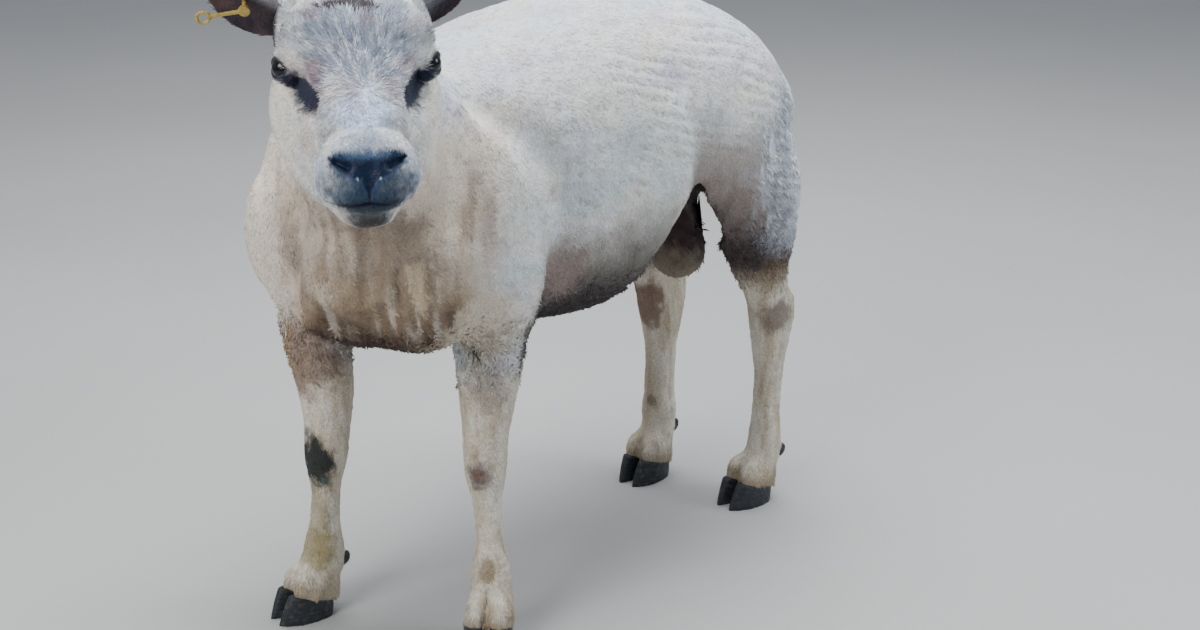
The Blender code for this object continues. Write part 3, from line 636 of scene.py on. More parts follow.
def make_ear(label):
    """A cupped leaf: two sheets, the outer ribbed, joined round the edge."""
    side, *angles = EARS[label]
    pose = np.array(ear_pose(side, *angles))
    rows, columns = 72, 41
    along, across = np.meshgrid(np.linspace(0, 1, rows), np.linspace(-1, 1, columns), indexing="ij")
    outline = ear_half(along) * np.sqrt(np.maximum(1 - along**5, 0.0))
    curl = np.radians(80 - 36 * along)
    radius = EAR_WIDTH / 2 * np.maximum(outline, 0.05) / curl
    angle = across * curl
    outward = np.stack([np.zeros_like(angle), np.cos(angle), np.sin(angle)], -1)
    ribs = 0.0006 * np.sin(across * 14) * (1 - across**2) * np.sin(math.pi * along)
    length = side * (along * EAR_LENGTH - EAR_ROOT_DEPTH)
    base = np.stack([length, 0.010 * (1 - along) - radius * (1 - np.cos(angle)), radius * np.sin(angle)], -1)
    thick = EAR_WALL / 2 * (1 - across**6 * 0.75) * (1 - 0.5 * along) + 0.0003
    outer = base + outward * (thick + ribs)[..., None]
    inner = base - outward * thick[..., None]
    points = np.concatenate([outer.reshape(-1, 3), inner.reshape(-1, 3)])
    count = rows * columns
    index = np.arange(count).reshape(rows, columns)
    quads = np.stack([index[:-1, :-1], index[1:, :-1], index[1:, 1:], index[:-1, 1:]], -1).reshape(-1, 4)
    ring = np.concatenate([index[0, :], index[1:, -1], index[-1, -2::-1], index[-2:0:-1, 0]])
    after = np.roll(ring, -1)
    rim = np.stack([ring, after, after + count, ring + count], 1)
    faces = np.concatenate([quads, quads[:, ::-1] + count, rim])
    obj = add_object("ear_" + label + "_leaf", mesh_of("ear", points @ pose[:3, :3].T + pose[:3, 3], faces))
    form = bmesh.new()
    form.from_mesh(obj.data)
    bmesh.ops.recalc_face_normals(form, faces=form.faces[:])
    form.to_mesh(obj.data)
    return obj


def near_ears(points):
    """For each ear: its side, its pose, the points in its own axes and which are close to its leaf."""
    outside = np.abs(to_head(points)[:, 0]) > 0.066
    for side, *angles in EARS.values():
        pose = np.array(ear_pose(side, *angles))
        local = (points - pose[:3, 3]) @ pose[:3, :3]
        yield side, pose, local, outside & (np.abs(local[:, 2]) < 0.045) & (np.abs(local[:, 1]) < 0.05)


def ear_fields(points, normals):
    """For each point: 1 on either ear, its place along the leaf, 1 on the inner face, and 1 at the edge."""
    on_ear, along, inner, edge = np.zeros((4, len(points)))
    for side, pose, local, close in near_ears(points):
        reach = (local[:, 0] * side + EAR_ROOT_DEPTH) / EAR_LENGTH
        close &= (reach > 0.12) & (reach < 1.05)
        across = local[:, 2] / np.maximum(EAR_WIDTH / 2 * ear_half(reach), 0.01)
        face = normals @ pose[:3, :3]
        on_ear[close] = 1.0
        along[close] = reach[close]
        inner[close] = ease(-0.1, 0.2, -face[:, 1] - 0.9 * face[:, 2] * across)[close]
        edge[close] = np.abs(across[close])
    return on_ear, along, inner, edge


# ---------------------------------------------------------------- markings
CREAM, WARM, PINK, COOL = (240, 239, 234), (230, 220, 202), (222, 208, 206), (214, 224, 236)
INK = (0, 24, 56)
# each mark: name, centre, radii, colour, strength
# trunk space, the same on both sides
TRUNK_MARKS = (
    # axilla: painted shade behind the arm over pinkish-brown skin
    ("axilla", (142, -128, 432), (34, 46, 42), (142, 122, 116), 0.80),
    ("gaskin", (122, 296, 322), (34, 36, 50), (134, 114, 84), 0.62),
    # groin: painted shade in the hollow of the groin
    ("groin", (60, 180, 445), (60, 70, 40), (62, 50, 50), 0.95),
    ("hock", (98, 322, 268), (24, 30, 26), (104, 86, 76), 0.75),
)
# body space, one side each
BODY_MARKS = (
    ("chest bottom", (50, -330, 385), (120, 90, 40), (96, 78, 64), 0.85),
    ("chest bottom dark", (40, -330, 375), (90, 80, 30), (62, 48, 40), 0.85),
    # painted shade in the hollow beside the brisket
    ("chest hollow", (132, -375, 485), (44, 60, 90), (116, 102, 88), 0.55),
    ("throat shade", (60, -412, 575), (70, 40, 50), (150, 132, 112), 0.35),
    # painted shade on the chest's right side
    ("chest right", (-6, -404, 490), (30, 30, 60), (140, 124, 112), 0.6),
    # painted highlight along the brisket's sculpted ridge, in tan
    ("brisket ridge", (133, -350, 470), (8, 30, 40), (222, 202, 172), 0.5),
    # brown wool, darkened further with painted shade
    ("right forearm", (-104, -310, 330), (50, 55, 50), (130, 106, 90), 0.8),
    ("right forearm tan", (-122, -335, 320), (18, 30, 65), (168, 142, 106), 0.6),
    ("right knee scab", (-80, -330, 206), (38, 24, 44), (40, 46, 44), 0.98),
    ("right knee rim", (-66, -326, 178), (18, 20, 20), (92, 104, 96), 0.7),
    ("right cannon", (-92, -318, 130), (16, 20, 50), (160, 150, 118), 0.5),
    ("right pastern", (-96, -322, 92), (34, 30, 30), (150, 138, 92), 0.7),
    ("left arm top", (124, -262, 395), (60, 55, 65), (210, 196, 174), 0.80),
    ("left arm speck", (104, -250, 366), (12, 14, 12), (50, 34, 32), 0.9),
    ("left arm speck low", (118, -236, 352), (10, 12, 9), (60, 44, 40), 0.85),
    ("left forearm", (112, -230, 320), (30, 30, 36), (150, 136, 124), 0.6),
    ("left knee halo", (96, -234, 210), (26, 20, 28), (116, 112, 112), 0.8),
    ("left knee", (94, -236, 210), (17, 16, 16), (112, 72, 66), 0.85),
    ("left pastern", (105, -234, 98), (16, 16, 18), (146, 126, 98), 0.75),
    ("right hock brown", (-80, 250, 255), (30, 30, 40), (116, 82, 66), 0.8),
    ("right cannon mark", (-76, 262, 110), (10, 10, 10), (110, 94, 78), 0.6),
    ("scrotum", (4, 215, 370), (62, 56, 90), (72, 58, 60), 1.0),
    ("scrotum low", (4, 212, 325), (70, 60, 56), (128, 118, 102), 0.85),
)
# head space, the same on both sides
FACE_MARKS = (
    ("forehead", (20, -36, 52), (62, 60, 40), (136, 150, 170), 0.85),
    ("forehead middle", (0, -60, 44), (40, 40, 30), (116, 124, 142), 0.65),
    ("temple", (66, 8, 40), (14, 34, 34), (150, 158, 166), 0.7),
    ("pale brow", (52, -16, 36), (11, 26, 14), (206, 212, 216), 0.6),
    ("brow blush", (38, -52, 30), (14, 14, 12), (150, 124, 130), 0.5),
    ("bridge", (0, -114, 25), (36, 30, 22), (196, 217, 250), 0.90),
    ("side of the nose", (34, -98, 18), (12, 34, 18), (178, 184, 196), 0.5),
    ("cheek", (70, -20, -50), (30, 60, 50), (255, 249, 236), 0.85),
    ("muzzle top", (0, -151, 14), (36, 20, 18), (140, 156, 180), 0.75),
    ("muzzle side", (42, -150, -10), (13, 26, 28), (204, 216, 234), 0.85),
)
SCAB = [(-36, -1, 62, 4), (-20, -4, 64.5, 4.5), (-8, 1, 65, 8), (4, 0, 64, 12), (13, -9, 64, 6)]
HOOD = [(0, -161, 7.8, 7.2), (14, -160, 7.6, 6.4), (27, -156, 7.4, 4.4)]
LIP_RIM = [(36, -166, -29, 3), (31, -167, -40, 3.4), (23, -165, -49, 2.6)]
NOSE_FORK = [(0, -165, 4, 6), (12, -163, 6, 3.4)]
NOSE_GLEAM = [(10.2, -171, -5.2, 1), (9.8, -172, -6, 0.8)]
# height in trunk space, and how far back the pale rim of the thigh starts there
RIM_UP = (0.35, 0.384, 0.44, 0.475, 0.518, 0.571, 0.65)
RIM_BACK = (0.300, 0.272, 0.244, 0.220, 0.226, 0.250, 0.290)


def tone(shade):
    """Linear colour of a screen colour."""
    value = np.array(shade) / 255.0
    return np.where(value < 0.04045, value / 12.92, ((value + 0.055) / 1.055) ** 2.4)


class Paint:
    """A colour to each point, laid on in layers."""

    def __init__(self, points, shade):
        self.colour = np.tile(tone(shade), (len(points), 1))

    def lay(self, shade, share):
        """A layer of a screen colour, or of another paint."""
        self.colour = mix(self.colour, shade.colour if isinstance(shade, Paint) else tone(shade), share)

    def spot(self, shade, share, low, high, field):
        """A layer that is full where the field is below low and gone where it is above high."""
        self.lay(shade, share * fade(low, high, field))

    def bands(self, share, field, rows):
        """Spots of one field, each row with its colour, strength, low and high."""
        for shade, strength, low, high in rows:
            self.spot(shade, strength * share, low, high, field)

    def marks(self, space, rows, low, high, edge):
        for _, centre, radii, shade, strength in rows:
            self.spot(shade, strength, low, high, within(space, centre, radii) + edge)


def strokes(head):
    """Streaks of the face's hair, which run out from the whorl."""
    p, q = head[:, 0] - WHORL[0], 0.62 * (head[:, 1] - WHORL[1]) + 0.78 * (head[:, 2] - WHORL[2])
    turn = np.arctan2(q, p) + 0.10 * grain(head, 0.020, 43)
    wrapped = np.stack([np.cos(turn) * 0.030, np.sin(turn) * 0.030, np.hypot(p, q) / 5], 1)
    return grain(wrapped, 0.0013, 41, 2)


def wool_paint(points, normals):
    body, trunk = to_body(points), to_trunk(points)
    side, back, up = to_flank(points).T
    tall, level, hanging = (trunk * np.array(scale) for scale in ((1, 1, 0.16), (1, 0.45, 1), (1, 1, 0.14)))
    wool = Paint(points, CREAM)
    wool.lay(WARM, 0.25 + 0.25 * grain(body, 0.050, 21, 2) + 0.12 * grain(tall, 0.010, 61, 2))
    wool.lay(PINK, 0.20 + 0.5 * grain(body, 0.08, 22, 2))
    # painted bluish skylight, in patches and strongest on top of the back
    wool.lay(COOL, 0.22 + 0.5 * grain(body, 0.045, 23, 2) + 0.35 * ease(0.60, 0.70, up))
    for shade, strength, low, high, *cloud in (
        ((232, 230, 204), 0.45, 0.1, 0.8, level, 0.040, 62, 2),
        ((206, 198, 220), 0.45, 0.1, 0.8, level, 0.045, 63, 2),
        ((200, 226, 228), 0.40, 0.1, 0.8, level, 0.050, 64, 2),
        ((170, 168, 168), 0.35, 0.0, 0.8, body, 0.006, 26, 2),
        ((160, 160, 164), 0.30, 0.1, 0.9, level, 0.018, 65, 3),
    ):
        wool.lay(shade, strength * ease(low, high, grain(*cloud)))

    # the front: cream, browner under the head where the head's shadow is painted on, and dark towards the
    # brisket
    front = ease(-0.5, 0.1, normals @ CHEST_WAY) * fade(-0.32, -0.24, back + 0.3 * (0.47 - up))
    across = body @ CHEST_ACROSS
    # painted shadow of the head on the chest, strongest towards the chest's right
    under_head = front * fade(0.54, 0.64, up) * (0.20 + 0.80 * ease(-0.315, -0.250, across))
    wool.lay((255, 238, 216), 0.72 * front * (1 - 0.7 * under_head) * fade(0.60, 0.68, up))
    wool.lay((200, 178, 152), 0.66 * under_head)
    shaded = within(body, (108, -385, 500), (80, 90, 115)) + 0.25 * grain(body, 0.03, 71, 2)
    wool.spot((122, 106, 90), 0.62 * front, 0.2, 1.2, shaded)
    sunk = up + 0.016 * grain(body, 0.030, 66, 2) + 0.10 * fade(-0.29, -0.23, across)
    wool.bands(front, sunk, (((158, 136, 108), 0.86, 0.430, 0.525), ((66, 50, 38), 0.93, 0.402, 0.462)))
    pleats = np.stack([across, up * 0.12, up * 0], 1)
    wool.lay((132, 108, 90), 0.55 * under_head * ease(0.0, 0.7, grain(pleats, 0.007, 24, 2)))
    wool.lay((238, 228, 212), 0.50 * under_head * ease(0.2, 0.8, grain(pleats, 0.009, 54, 2)))
    wool.lay((246, 250, 250), 0.55 * combs(points, 8, -0.3) * (1 - front))

    # the thigh: cream to brown to near black towards the gaskin, which is tan; the brown is the wool's own
    # and the near black is painted shade
    lead = up + 0.35 * (back - 0.13) + 0.014 * grain(body, 0.045, 48, 2) + 0.008 * grain(body, 0.010, 49, 2)
    thigh = ease(0.085, 0.120, back) * fade(0.9, 1.25, np.abs(back - 0.20) / 0.16)
    thigh_rows = (
        # these rows darken the thigh with painted shade over its brown wool
        ((170, 160, 152), 0.80, 0.535, 0.600),
        ((134, 122, 116), 0.85, 0.480, 0.545),
        ((70, 60, 60), 0.92, 0.425, 0.490),
        ((108, 90, 70), 0.75, 0.375, 0.410),
        ((164, 142, 110), 0.80, 0.335, 0.375),
    )
    wool.bands(thigh, lead, thigh_rows)

    # its rim: pale locks over a grey-blue ground, which turns to painted bluish rim light at the back edge,
    # with painted shade between the locks
    behind = back - np.interp(up, RIM_UP, RIM_BACK)
    wisps = 0.012 * grain(body, 0.02, 45) + 0.022 * grain(hanging, 0.007, 67, 2)
    rear = ease(-0.028, 0.030, behind + wisps) * fade(0.55, 0.61, up - 0.4 * (back - 0.25))
    rear *= ease(0.350, 0.385, up)
    ground = Paint(points, (180, 184, 194))
    # painted rim light: paler and bluer towards the back edge
    ground.lay((228, 236, 248), ease(0.02, 0.09, behind))
    wool.lay(ground, 0.85 * rear)
    locks = grain(hanging, 0.006, 46, 2)
    wool.lay((232, 240, 252), 0.85 * rear * ease(0.0, 0.5, locks) * ease(0.37, 0.46, up))
    # painted shade in the gaps between the locks
    wool.lay((112, 110, 118), 0.42 * rear * ease(0.1, 0.6, -locks))

    # the belly darkens downwards with painted shade, with a ragged edge
    ragged = 0.010 * grain(body, 0.016, 25, 2) + 0.012 * grain(body, 0.06, 26)
    height = up + ragged + 0.05 * ease(0.3, 0.9, front)
    belly = fade(0.06, 0.11, back) * ease(-0.205, -0.165, back + 0.5 * (0.14 - side))
    belly_rows = (
        ((152, 148, 140), 0.80, 0.455, 0.510),
        ((94, 88, 82), 0.90, 0.420, 0.470),
        ((56, 50, 52), 0.92, 0.380, 0.430),
    )
    # painted shade on the underside
    wool.bands(belly, height, belly_rows)
    return wool


def face_paint(points):
    """The colours of the face and its wetness."""
    head, paired = to_head(points), to_face(points)
    face = Paint(points, (236, 234, 228))
    face.lay((200, 205, 212), 0.3 + 0.5 * grain(head, 0.010, 31, 2))
    face.lay((216, 190, 178), 0.45 * ease(0.1, 0.8, grain(head, 0.022, 30)))
    face.marks(paired, FACE_MARKS, 0.4, 1.25, 0.25 * grain(head, 0.010, 32, 2))

    # hair of the forehead and cheeks, and painted shade along the edges of the dome and the muzzle
    fine = strokes(head)
    brow = fade(0.7, 1.3, within(paired, (0, -45, 45), (66, 70, 50)))
    face.lay((70, 78, 98), (0.18 + 0.36 * brow) * ease(0.05, 0.60, fine))
    face.lay((238, 242, 246), (0.14 + 0.40 * brow) * ease(0.05, 0.65, -fine))
    face.lay((132, 98, 108), 0.48 * brow * ease(0.1, 0.8, grain(head, 0.016, 42)))
    # painted shade in the crease at the dome's edge
    crease = beside(paired, even(DOME_EDGE, 7)) + 0.3 * grain(head, 0.006, 70)
    face.spot((96, 104, 122), 0.60, 0.3, 1.3, crease)
    # a painted shadow band behind the muzzle
    fold = beside(paired, even(MUZZLE_BACK, 11)) + 0.3 * grain(head, 0.006, 68)
    face.spot((150, 146, 140), 0.55, 0.2, 1.2, fold)

    # pits, poll
    pit = fade(0.55, 1.20, beside(paired, PIT, PIT_WAY) + 0.25 * grain(head, 0.005, 33, 2))
    face.lay((2, 20, 54), 0.97 * pit)
    face.lay((84, 60, 72), 0.60 * pit * ease(0.060, 0.078, -head[:, 1]))
    face.spot((46, 30, 36), 0.92, 0.5, 1.15, beside(head, SCAB) + 0.5 * grain(head, 0.006, 34, 2))

    # nose, lips and chin
    fringe = 0.14 * grain(head, 0.004, 35, 2)
    face.spot((32, 74, 110), 0.94, 0.4, 1.7, beside(paired, HOOD, NOSE_WAY) + 2 * fringe)
    for shade, strength, low, high, ragged, centre, radii in (
        ((112, 124, 138), 0.80, 0.50, 1.10, 1.2, (0, -176, -19), (60, 60, 34)),
        ((38, 64, 90), 0.93, 0.25, 1.10, 1.2, (0, -178, -21), (47, 52, 26)),
        ((30, 42, 62), 0.85, 0.3, 1.1, 0.0, (10, -176, -32), (27, 30, 10)),
        ((62, 70, 78), 0.92, 0.30, 1.15, 1.6, (0, -172, -52), (31, 44, 30)),
        ((60, 50, 46), 0.7, 0.3, 1.2, 0.0, (0, -162, -63), (24, 20, 12)),
    ):
        face.spot(shade, strength, low, high, within(paired, centre, radii) + ragged * fringe)
    face.spot((206, 210, 214), 0.65, 0.4, 1.5, beside(paired, LIP_RIM, FRONT_WAY) + 2 * fringe)
    face.spot((20, 40, 70), 0.8, 0.5, 1.3, within(paired, (23.5, -158, 8), (4.4, 10, 5)))
    nose = nose_distance(paired)
    face.spot((40, 66, 98), 0.85, 1.0, 1.9, nose + fringe)
    face.spot((34, 48, 74), 0.85, 0.7, 1.3, beside(paired, NOSE_FORK, NOSE_WAY))
    split, gape, lips = (beside(paired, path, FRONT_WAY) for path in (PHILTRUM, MOUTH, LIPS))
    face.spot((40, 50, 66), 0.7, 0.7, 1.8, lips)
    dark = np.maximum(fade(0.70, 1.20, nose + 0.6 * fringe), fade(0.7, 1.3, np.minimum(split, gape)))
    face.lay(INK, 0.98 * dark)
    face.spot((206, 222, 240), 0.75, 0.4, 1.3, beside(paired, NOSE_GLEAM, NOSE_WAY) + 0.3 * fringe)
    wet = 0.5 * np.maximum(dark, fade(0.8, 1.4, within(paired, (8, -172, -6), (10, 10, 8))))

    # lids: a dark rim, a painted highlight on the upper lid and painted shade in the folds
    for side in (1, -1):
        margin, distance = lid_margin(points, side)
        near = distance < EYE_REACH
        _, along, across, _ = eye_space(points, side)
        inward, upper = ease(-0.2, 0.5, -along), ease(-0.15, 0.15, across)
        fold = (0.30 + 0.4 * inward) * (1 - 0.7 * upper)
        face.lay((60, 70, 90), fold * near * bell(margin, -0.0030, 0.0026))
        # painted highlight on the upper lid
        face.lay((204, 198, 202), 0.55 * upper * (1 - inward) * near * bell(margin, -0.0050, 0.0030))
        rim = fade(0.0014, 0.0040, np.abs(margin + 0.0006)) * near
        face.lay((14, 18, 28), 0.97 * rim)
        face.lay((150, 162, 176), 0.6 * (1 - upper) * near * bell(margin, -0.0040, 0.0008))
        wet = np.maximum(wet, 0.45 * rim)
    return face, wet


def nose_distance(paired):
    return np.minimum(beside(paired, NOSTRIL, NOSE_WAY), beside(paired, STEM, NOSE_WAY))


def ear_paint(points, reach, inner, edge):
    """Pale outside and at the edge, dark in the hollow with painted shade over its brownish skin, and pale
    again at the root.
    """
    leaf = Paint(points, (206, 204, 200))
    leaf.lay((164, 160, 160), 0.4 + 0.5 * grain(points, 0.012, 37, 2))
    # the hollow's darkness is painted shade over brownish skin
    hollow = Paint(points, (84, 70, 74))
    hollow.lay((46, 46, 58), 0.5 + 0.8 * grain(points, 0.016, 38, 2))
    hollow.lay((104, 76, 70), 0.45 * ease(0.1, 0.6, grain(points, 0.02, 39)))
    head = to_head(points)
    root = fade(0.30, 0.62, reach + 0.12 * grain(points, 0.010, 69, 2))
    rise = head[:, 2] - EAR_ROOT[2] - 0.577 * (np.abs(head[:, 0]) - EAR_ROOT[0])
    middle_of_left = 0.75 * (head[:, 0] > 0) * fade(0.2, 0.7, edge)
    hollow.lay((172, 172, 178), np.maximum(0.85 * root * ease(-0.004, 0.012, rise), middle_of_left))
    leaf.lay(hollow, inner)
    leaf.lay((222, 218, 212), 0.85 * ease(0.80, 0.95, edge))
    return leaf


def paint(points, normals):
    """The colour and the wetness of the hide at each point."""
    body = to_body(points)
    on_head, on_leg = head_share(points), leg_share(points)
    fade_down = body * np.array((1, 1, 0.22))
    legs = Paint(points, (224, 217, 202))
    legs.lay((190, 174, 148), 0.30 + 0.6 * grain(fade_down, 0.012, 27, 2))
    legs.lay((160, 140, 112), 0.40 * ease(0.1, 0.8, grain(fade_down, 0.006, 47, 2)))
    coat = wool_paint(points, normals)
    coat.lay(legs, on_leg)
    edge = 0.30 * grain(body, 0.010, 28, 3)
    coat.marks(to_flank(points), TRUNK_MARKS, 0.50, 1.20, edge)
    coat.marks(body, BODY_MARKS, 0.62, 1.12, edge)
    coat.spot((150, 130, 98), 0.6 * on_leg, 0.040, 0.060, body[:, 2] + 0.012 * grain(body, 0.010, 29, 2))
    for toes, ahead, _ in feet():
        coat.spot((96, 78, 62), 0.75, 0.5, 1.2, beside(foot_space(points, toes, ahead), TOE_PARTING))
    face, wet = face_paint(points)
    coat.lay(face, on_head)
    on_ear, reach, inner, edge = ear_fields(points, normals)
    coat.lay(ear_paint(points, reach, inner, edge), on_ear)
    return np.clip(coat.colour, 0.0, 1.0), wet * on_head


def lie_of(points, normals):
    """The way the coat lies at each point."""
    head = to_head(points)
    back, down = np.array((0.0, 0.62, -0.78)), np.array((0.0, 0.12, -1.0))
    apart = head - WHORL
    drift = ease(0.03, 0.08, np.linalg.norm(apart, axis=1)) * ease(-0.09, -0.03, head[:, 1])
    away = unit(apart) + np.array((0, 0.25, 0)) * drift[:, None]
    field = mix(mix(back, down, leg_share(points)), away @ HEAD_AXES.T, head_share(points))
    for side, pose, local, close in near_ears(points):
        close &= local[:, 0] * side > 0.006
        field = np.where(close[:, None], pose[:3, 0] * side, field)
    return unit(field - normals * np.sum(field * normals, axis=1, keepdims=True))


def colour_mesh(mesh, tint, wet):
    """Stores the markings of a mesh, one value to a point."""
    layer = mesh.color_attributes.new("tint", "FLOAT_COLOR", "POINT")
    tint = np.concatenate([tint, np.ones((len(tint), 1))], 1)
    layer.data.foreach_set("color", tint.astype(np.float32).ravel())
    layer = mesh.attributes.new("wet", "FLOAT", "POINT")
    layer.data.foreach_set("value", wet.astype(np.float32))


# ---------------------------------------------------------------- materials
class Shader:
    """A Principled material with short calls to add its nodes."""

    def __init__(self, name, **constants):
        self.material = bpy.data.materials.new(name)
        self.material.use_nodes = True
        self.tree = self.material.node_tree
        self.surface = self.tree.nodes["Principled BSDF"]
        for key, value in constants.items():
            self.surface.inputs[key.replace("_", " ")].default_value = value

    def node(self, kind, inputs=(), **settings):
        made = self.tree.nodes.new(kind)
        for key, value in settings.items():
            setattr(made, key, value)
        for key, value in dict(inputs).items():
            if isinstance(value, bpy.types.NodeSocket):
                self.tree.links.new(value, made.inputs[key])
            else:
                made.inputs[key].default_value = value
        return made

    def noise(self, scale, detail=3.0, stretch=(1, 1, 1)):
        place = self.node("ShaderNodeTexCoord").outputs["Object"]
        if stretch != (1, 1, 1):
            place = self.node("ShaderNodeMapping", {"Vector": place, "Scale": stretch}).outputs[0]
        inputs = {"Vector": place, "Scale": scale, "Detail": detail}
        return self.node("ShaderNodeTexNoise", inputs).outputs["Fac"]

    def carried(self, name, output):
        return self.node("ShaderNodeAttribute", attribute_name=name).outputs[output]

    def spread(self, value, low, high, to_low=0.0, to_high=1.0):
        inputs = {"Value": value, "From Min": low, "From Max": high, "To Min": to_low, "To Max": to_high}
        return self.node("ShaderNodeMapRange", inputs).outputs[0]

    def blend(self, factor, a, b, mode="MIX"):
        inputs = {0: factor, 6: a, 7: b}
        return self.node("ShaderNodeMix", inputs, data_type="RGBA", blend_type=mode).outputs[2]

    def set(self, key, value):
        self.tree.links.new(value, self.surface.inputs[key])

    def bump(self, height, depth, strength=1.0, before=None):
        inputs = {"Height": height, "Distance": depth, "Strength": strength}
        if before is not None:
            inputs["Normal"] = before
        return self.node("ShaderNodeBump", inputs).outputs[0]


def hide_material():
    """Wool and hair in the colours that the mesh carries, with a fine nap."""
    make = Shader("hide", Specular_IOR_Level=0.28, Sheen_Weight=0.05, Sheen_Roughness=0.6)
    shade = make.spread(make.noise(420, 4.0), 0.3, 0.7, 0.80, 1.14)
    grey = make.node("ShaderNodeCombineColor", {0: shade, 1: shade, 2: shade}).outputs[0]
    colour = make.blend(1.0, make.carried("tint", "Color"), grey, "MULTIPLY")
    warmth = make.spread(make.noise(90, 3.0), 0.4, 0.75, 0.0, 0.8)
    make.set("Base Color", make.blend(warmth, colour, (1.0, 0.97, 0.92, 1.0), "MULTIPLY"))
    make.set("Roughness", make.spread(make.carried("wet", "Fac"), 0.0, 0.6, 0.88, 0.30))
    crimp = make.bump(make.noise(650, 3.0), 0.0010, 0.55)
    make.set("Normal", make.bump(make.noise(190, 2.0), 0.0022, 0.35, crimp))
    return make.material


def eye_material():
    """A dark iris with an oval pupil, in a dark white."""
    make = Shader(
        "wet_eye", Roughness=0.14, Coat_Weight=0.45, Coat_Roughness=0.03, IOR=1.36, Specular_IOR_Level=0.3
    )
    place = make.carried("gaze", "Vector")
    x, y, _ = make.node("ShaderNodeSeparateXYZ", {0: place}).outputs

    def radius(width, height):
        wide, tall = (
            make.node("ShaderNodeMath", {0: axis, 1: size}, operation="DIVIDE").outputs[0]
            for axis, size in ((x, width), (y, height))
        )
        flat = make.node("ShaderNodeCombineXYZ", {0: wide, 1: tall}).outputs[0]
        return make.node("ShaderNodeVectorMath", {0: flat}, operation="LENGTH").outputs["Value"]

    streak = make.node("ShaderNodeTexNoise", {"Vector": place, "Scale": 9.0, "Detail": 4.0}).outputs["Fac"]
    iris = make.blend(make.spread(streak, 0.35, 0.7), (0.004, 0.005, 0.009, 1), (0.012, 0.011, 0.013, 1))
    iris = make.blend(make.spread(radius(0.42, 0.17), 0.92, 1.08, 1, 0), iris, (0.003, 0.003, 0.005, 1))
    white = make.blend(make.spread(streak, 0.4, 0.7), (0.05, 0.045, 0.045, 1), (0.10, 0.08, 0.075, 1))
    make.set("Base Color", make.blend(make.spread(radius(1.0, 1.0), 0.80, 0.90), iris, white))
    return make.material


def horn_material():
    """Slate horn in rings, with dust."""
    make = Shader("hoof_horn", Specular_IOR_Level=0.45)
    rings = make.noise(60, 4.0, (1, 1, 9))
    colour = make.blend(make.spread(rings, 0.3, 0.7), (0.007, 0.010, 0.015, 1), (0.030, 0.036, 0.044, 1))
    dust = make.spread(make.noise(140, 5.0), 0.54, 0.72, 0, 0.35)
    make.set("Base Color", make.blend(dust, colour, (0.16, 0.12, 0.085, 1)))
    make.set("Roughness", make.spread(make.noise(90, 3.0), 0.3, 0.7, 0.34, 0.72))
    make.set("Normal", make.bump(rings, 0.0012, 0.6, make.bump(make.noise(500, 3.0), 0.0004, 0.5)))
    return make.material


def tag_material():
    """Yellow plastic, worn and grimy."""
    make = Shader("tag_plastic", Specular_IOR_Level=0.5)
    worn = make.noise(260, 4.0)
    colour = make.blend(make.spread(worn, 0.35, 0.7), (0.42, 0.29, 0.05, 1), (0.62, 0.47, 0.12, 1))
    grime = make.spread(make.noise(120, 4.0), 0.52, 0.68, 0, 0.6)
    make.set("Base Color", make.blend(grime, colour, (0.16, 0.10, 0.04, 1)))
    make.set("Roughness", make.spread(worn, 0.3, 0.7, 0.35, 0.6))
    make.set("Normal", make.bump(worn, 0.0003, 0.4))
    return make.material


def floor_material():
    make = Shader("studio_floor", Specular_IOR_Level=0.2, Roughness=0.9)
    cloud = make.spread(make.noise(1.5, 2.0), 0.3, 0.7)
    make.set("Base Color", make.blend(cloud, (0.46, 0.46, 0.455, 1), (0.49, 0.49, 0.485, 1)))
    return make.material


# ---------------------------------------------------------------- coat
def surface(mesh):
    """Triangles of the hide with their areas, corner normals and corner places on its unwrap."""
    mesh.calc_loop_triangles()
    points = places(mesh)
    corners = get(mesh.loop_triangles, "vertices", 3, np.int32)
    a, b, c = (points[corners[:, i]] for i in range(3))
    return {
        "points": points,
        "normals": facings(mesh),
        "corners": corners,
        "loops": get(mesh.loop_triangles, "loops", 3, np.int32),
        "flat": get(mesh.uv_layers["OFBake"].uv, "vector", 2).astype(float),
        "area": np.linalg.norm(np.cross(b - a, c - a), axis=1) / 2,
    }


def scatter(hide, density, seed):
    """Roots on the hide, so many to a square metre, density being a field over its points."""
    dice = np.random.default_rng(seed)
    weight = hide["area"] * density[hide["corners"]].mean(1)
    count = int(weight.sum())
    chosen = dice.choice(len(weight), count, p=weight / weight.sum())
    u, v = dice.random(count), dice.random(count)
    flip = u + v > 1
    u, v = np.where(flip, 1 - u, u), np.where(flip, 1 - v, v)
    share = np.stack([1 - u - v, u, v], 1)[..., None]
    corners, loops = hide["corners"][chosen], hide["loops"][chosen]
    fields = (hide["points"][corners], hide["normals"][corners], hide["flat"][loops])
    roots, normals, flat = ((field * share).sum(1) for field in fields)
    return roots, unit(normals), flat, dice


# a tuft's six corners are its root, left, right, crest, keel and tip
LEAF = ((0, 2, 3), (0, 3, 1), (5, 3, 2), (5, 1, 3), (0, 4, 2), (0, 1, 4), (5, 2, 4), (5, 4, 1))
# each corner's factor: painted shade at the root and keel, painted highlight on the crest and tip
LEAF_LIGHT_AND_SHADE = np.array((0.94, 0.99, 0.99, 1.02, 0.85, 1.05))
LEAF_SIDE = np.array((0, 0.30, -0.30, 0, 0, 0))[None, :, None]  # how a corner's shading leans
LEAF_ALONG = np.array((-0.25, 0, 0, 0, 0, 0.30))[None, :, None]
PATCH = np.array(((-0.5, 0), (0, 0.5), (0, -0.5), (0, 0.12), (0, -0.12), (0.5, 0))) * 0.003
PIECE_LIMIT = 199000  # triangles


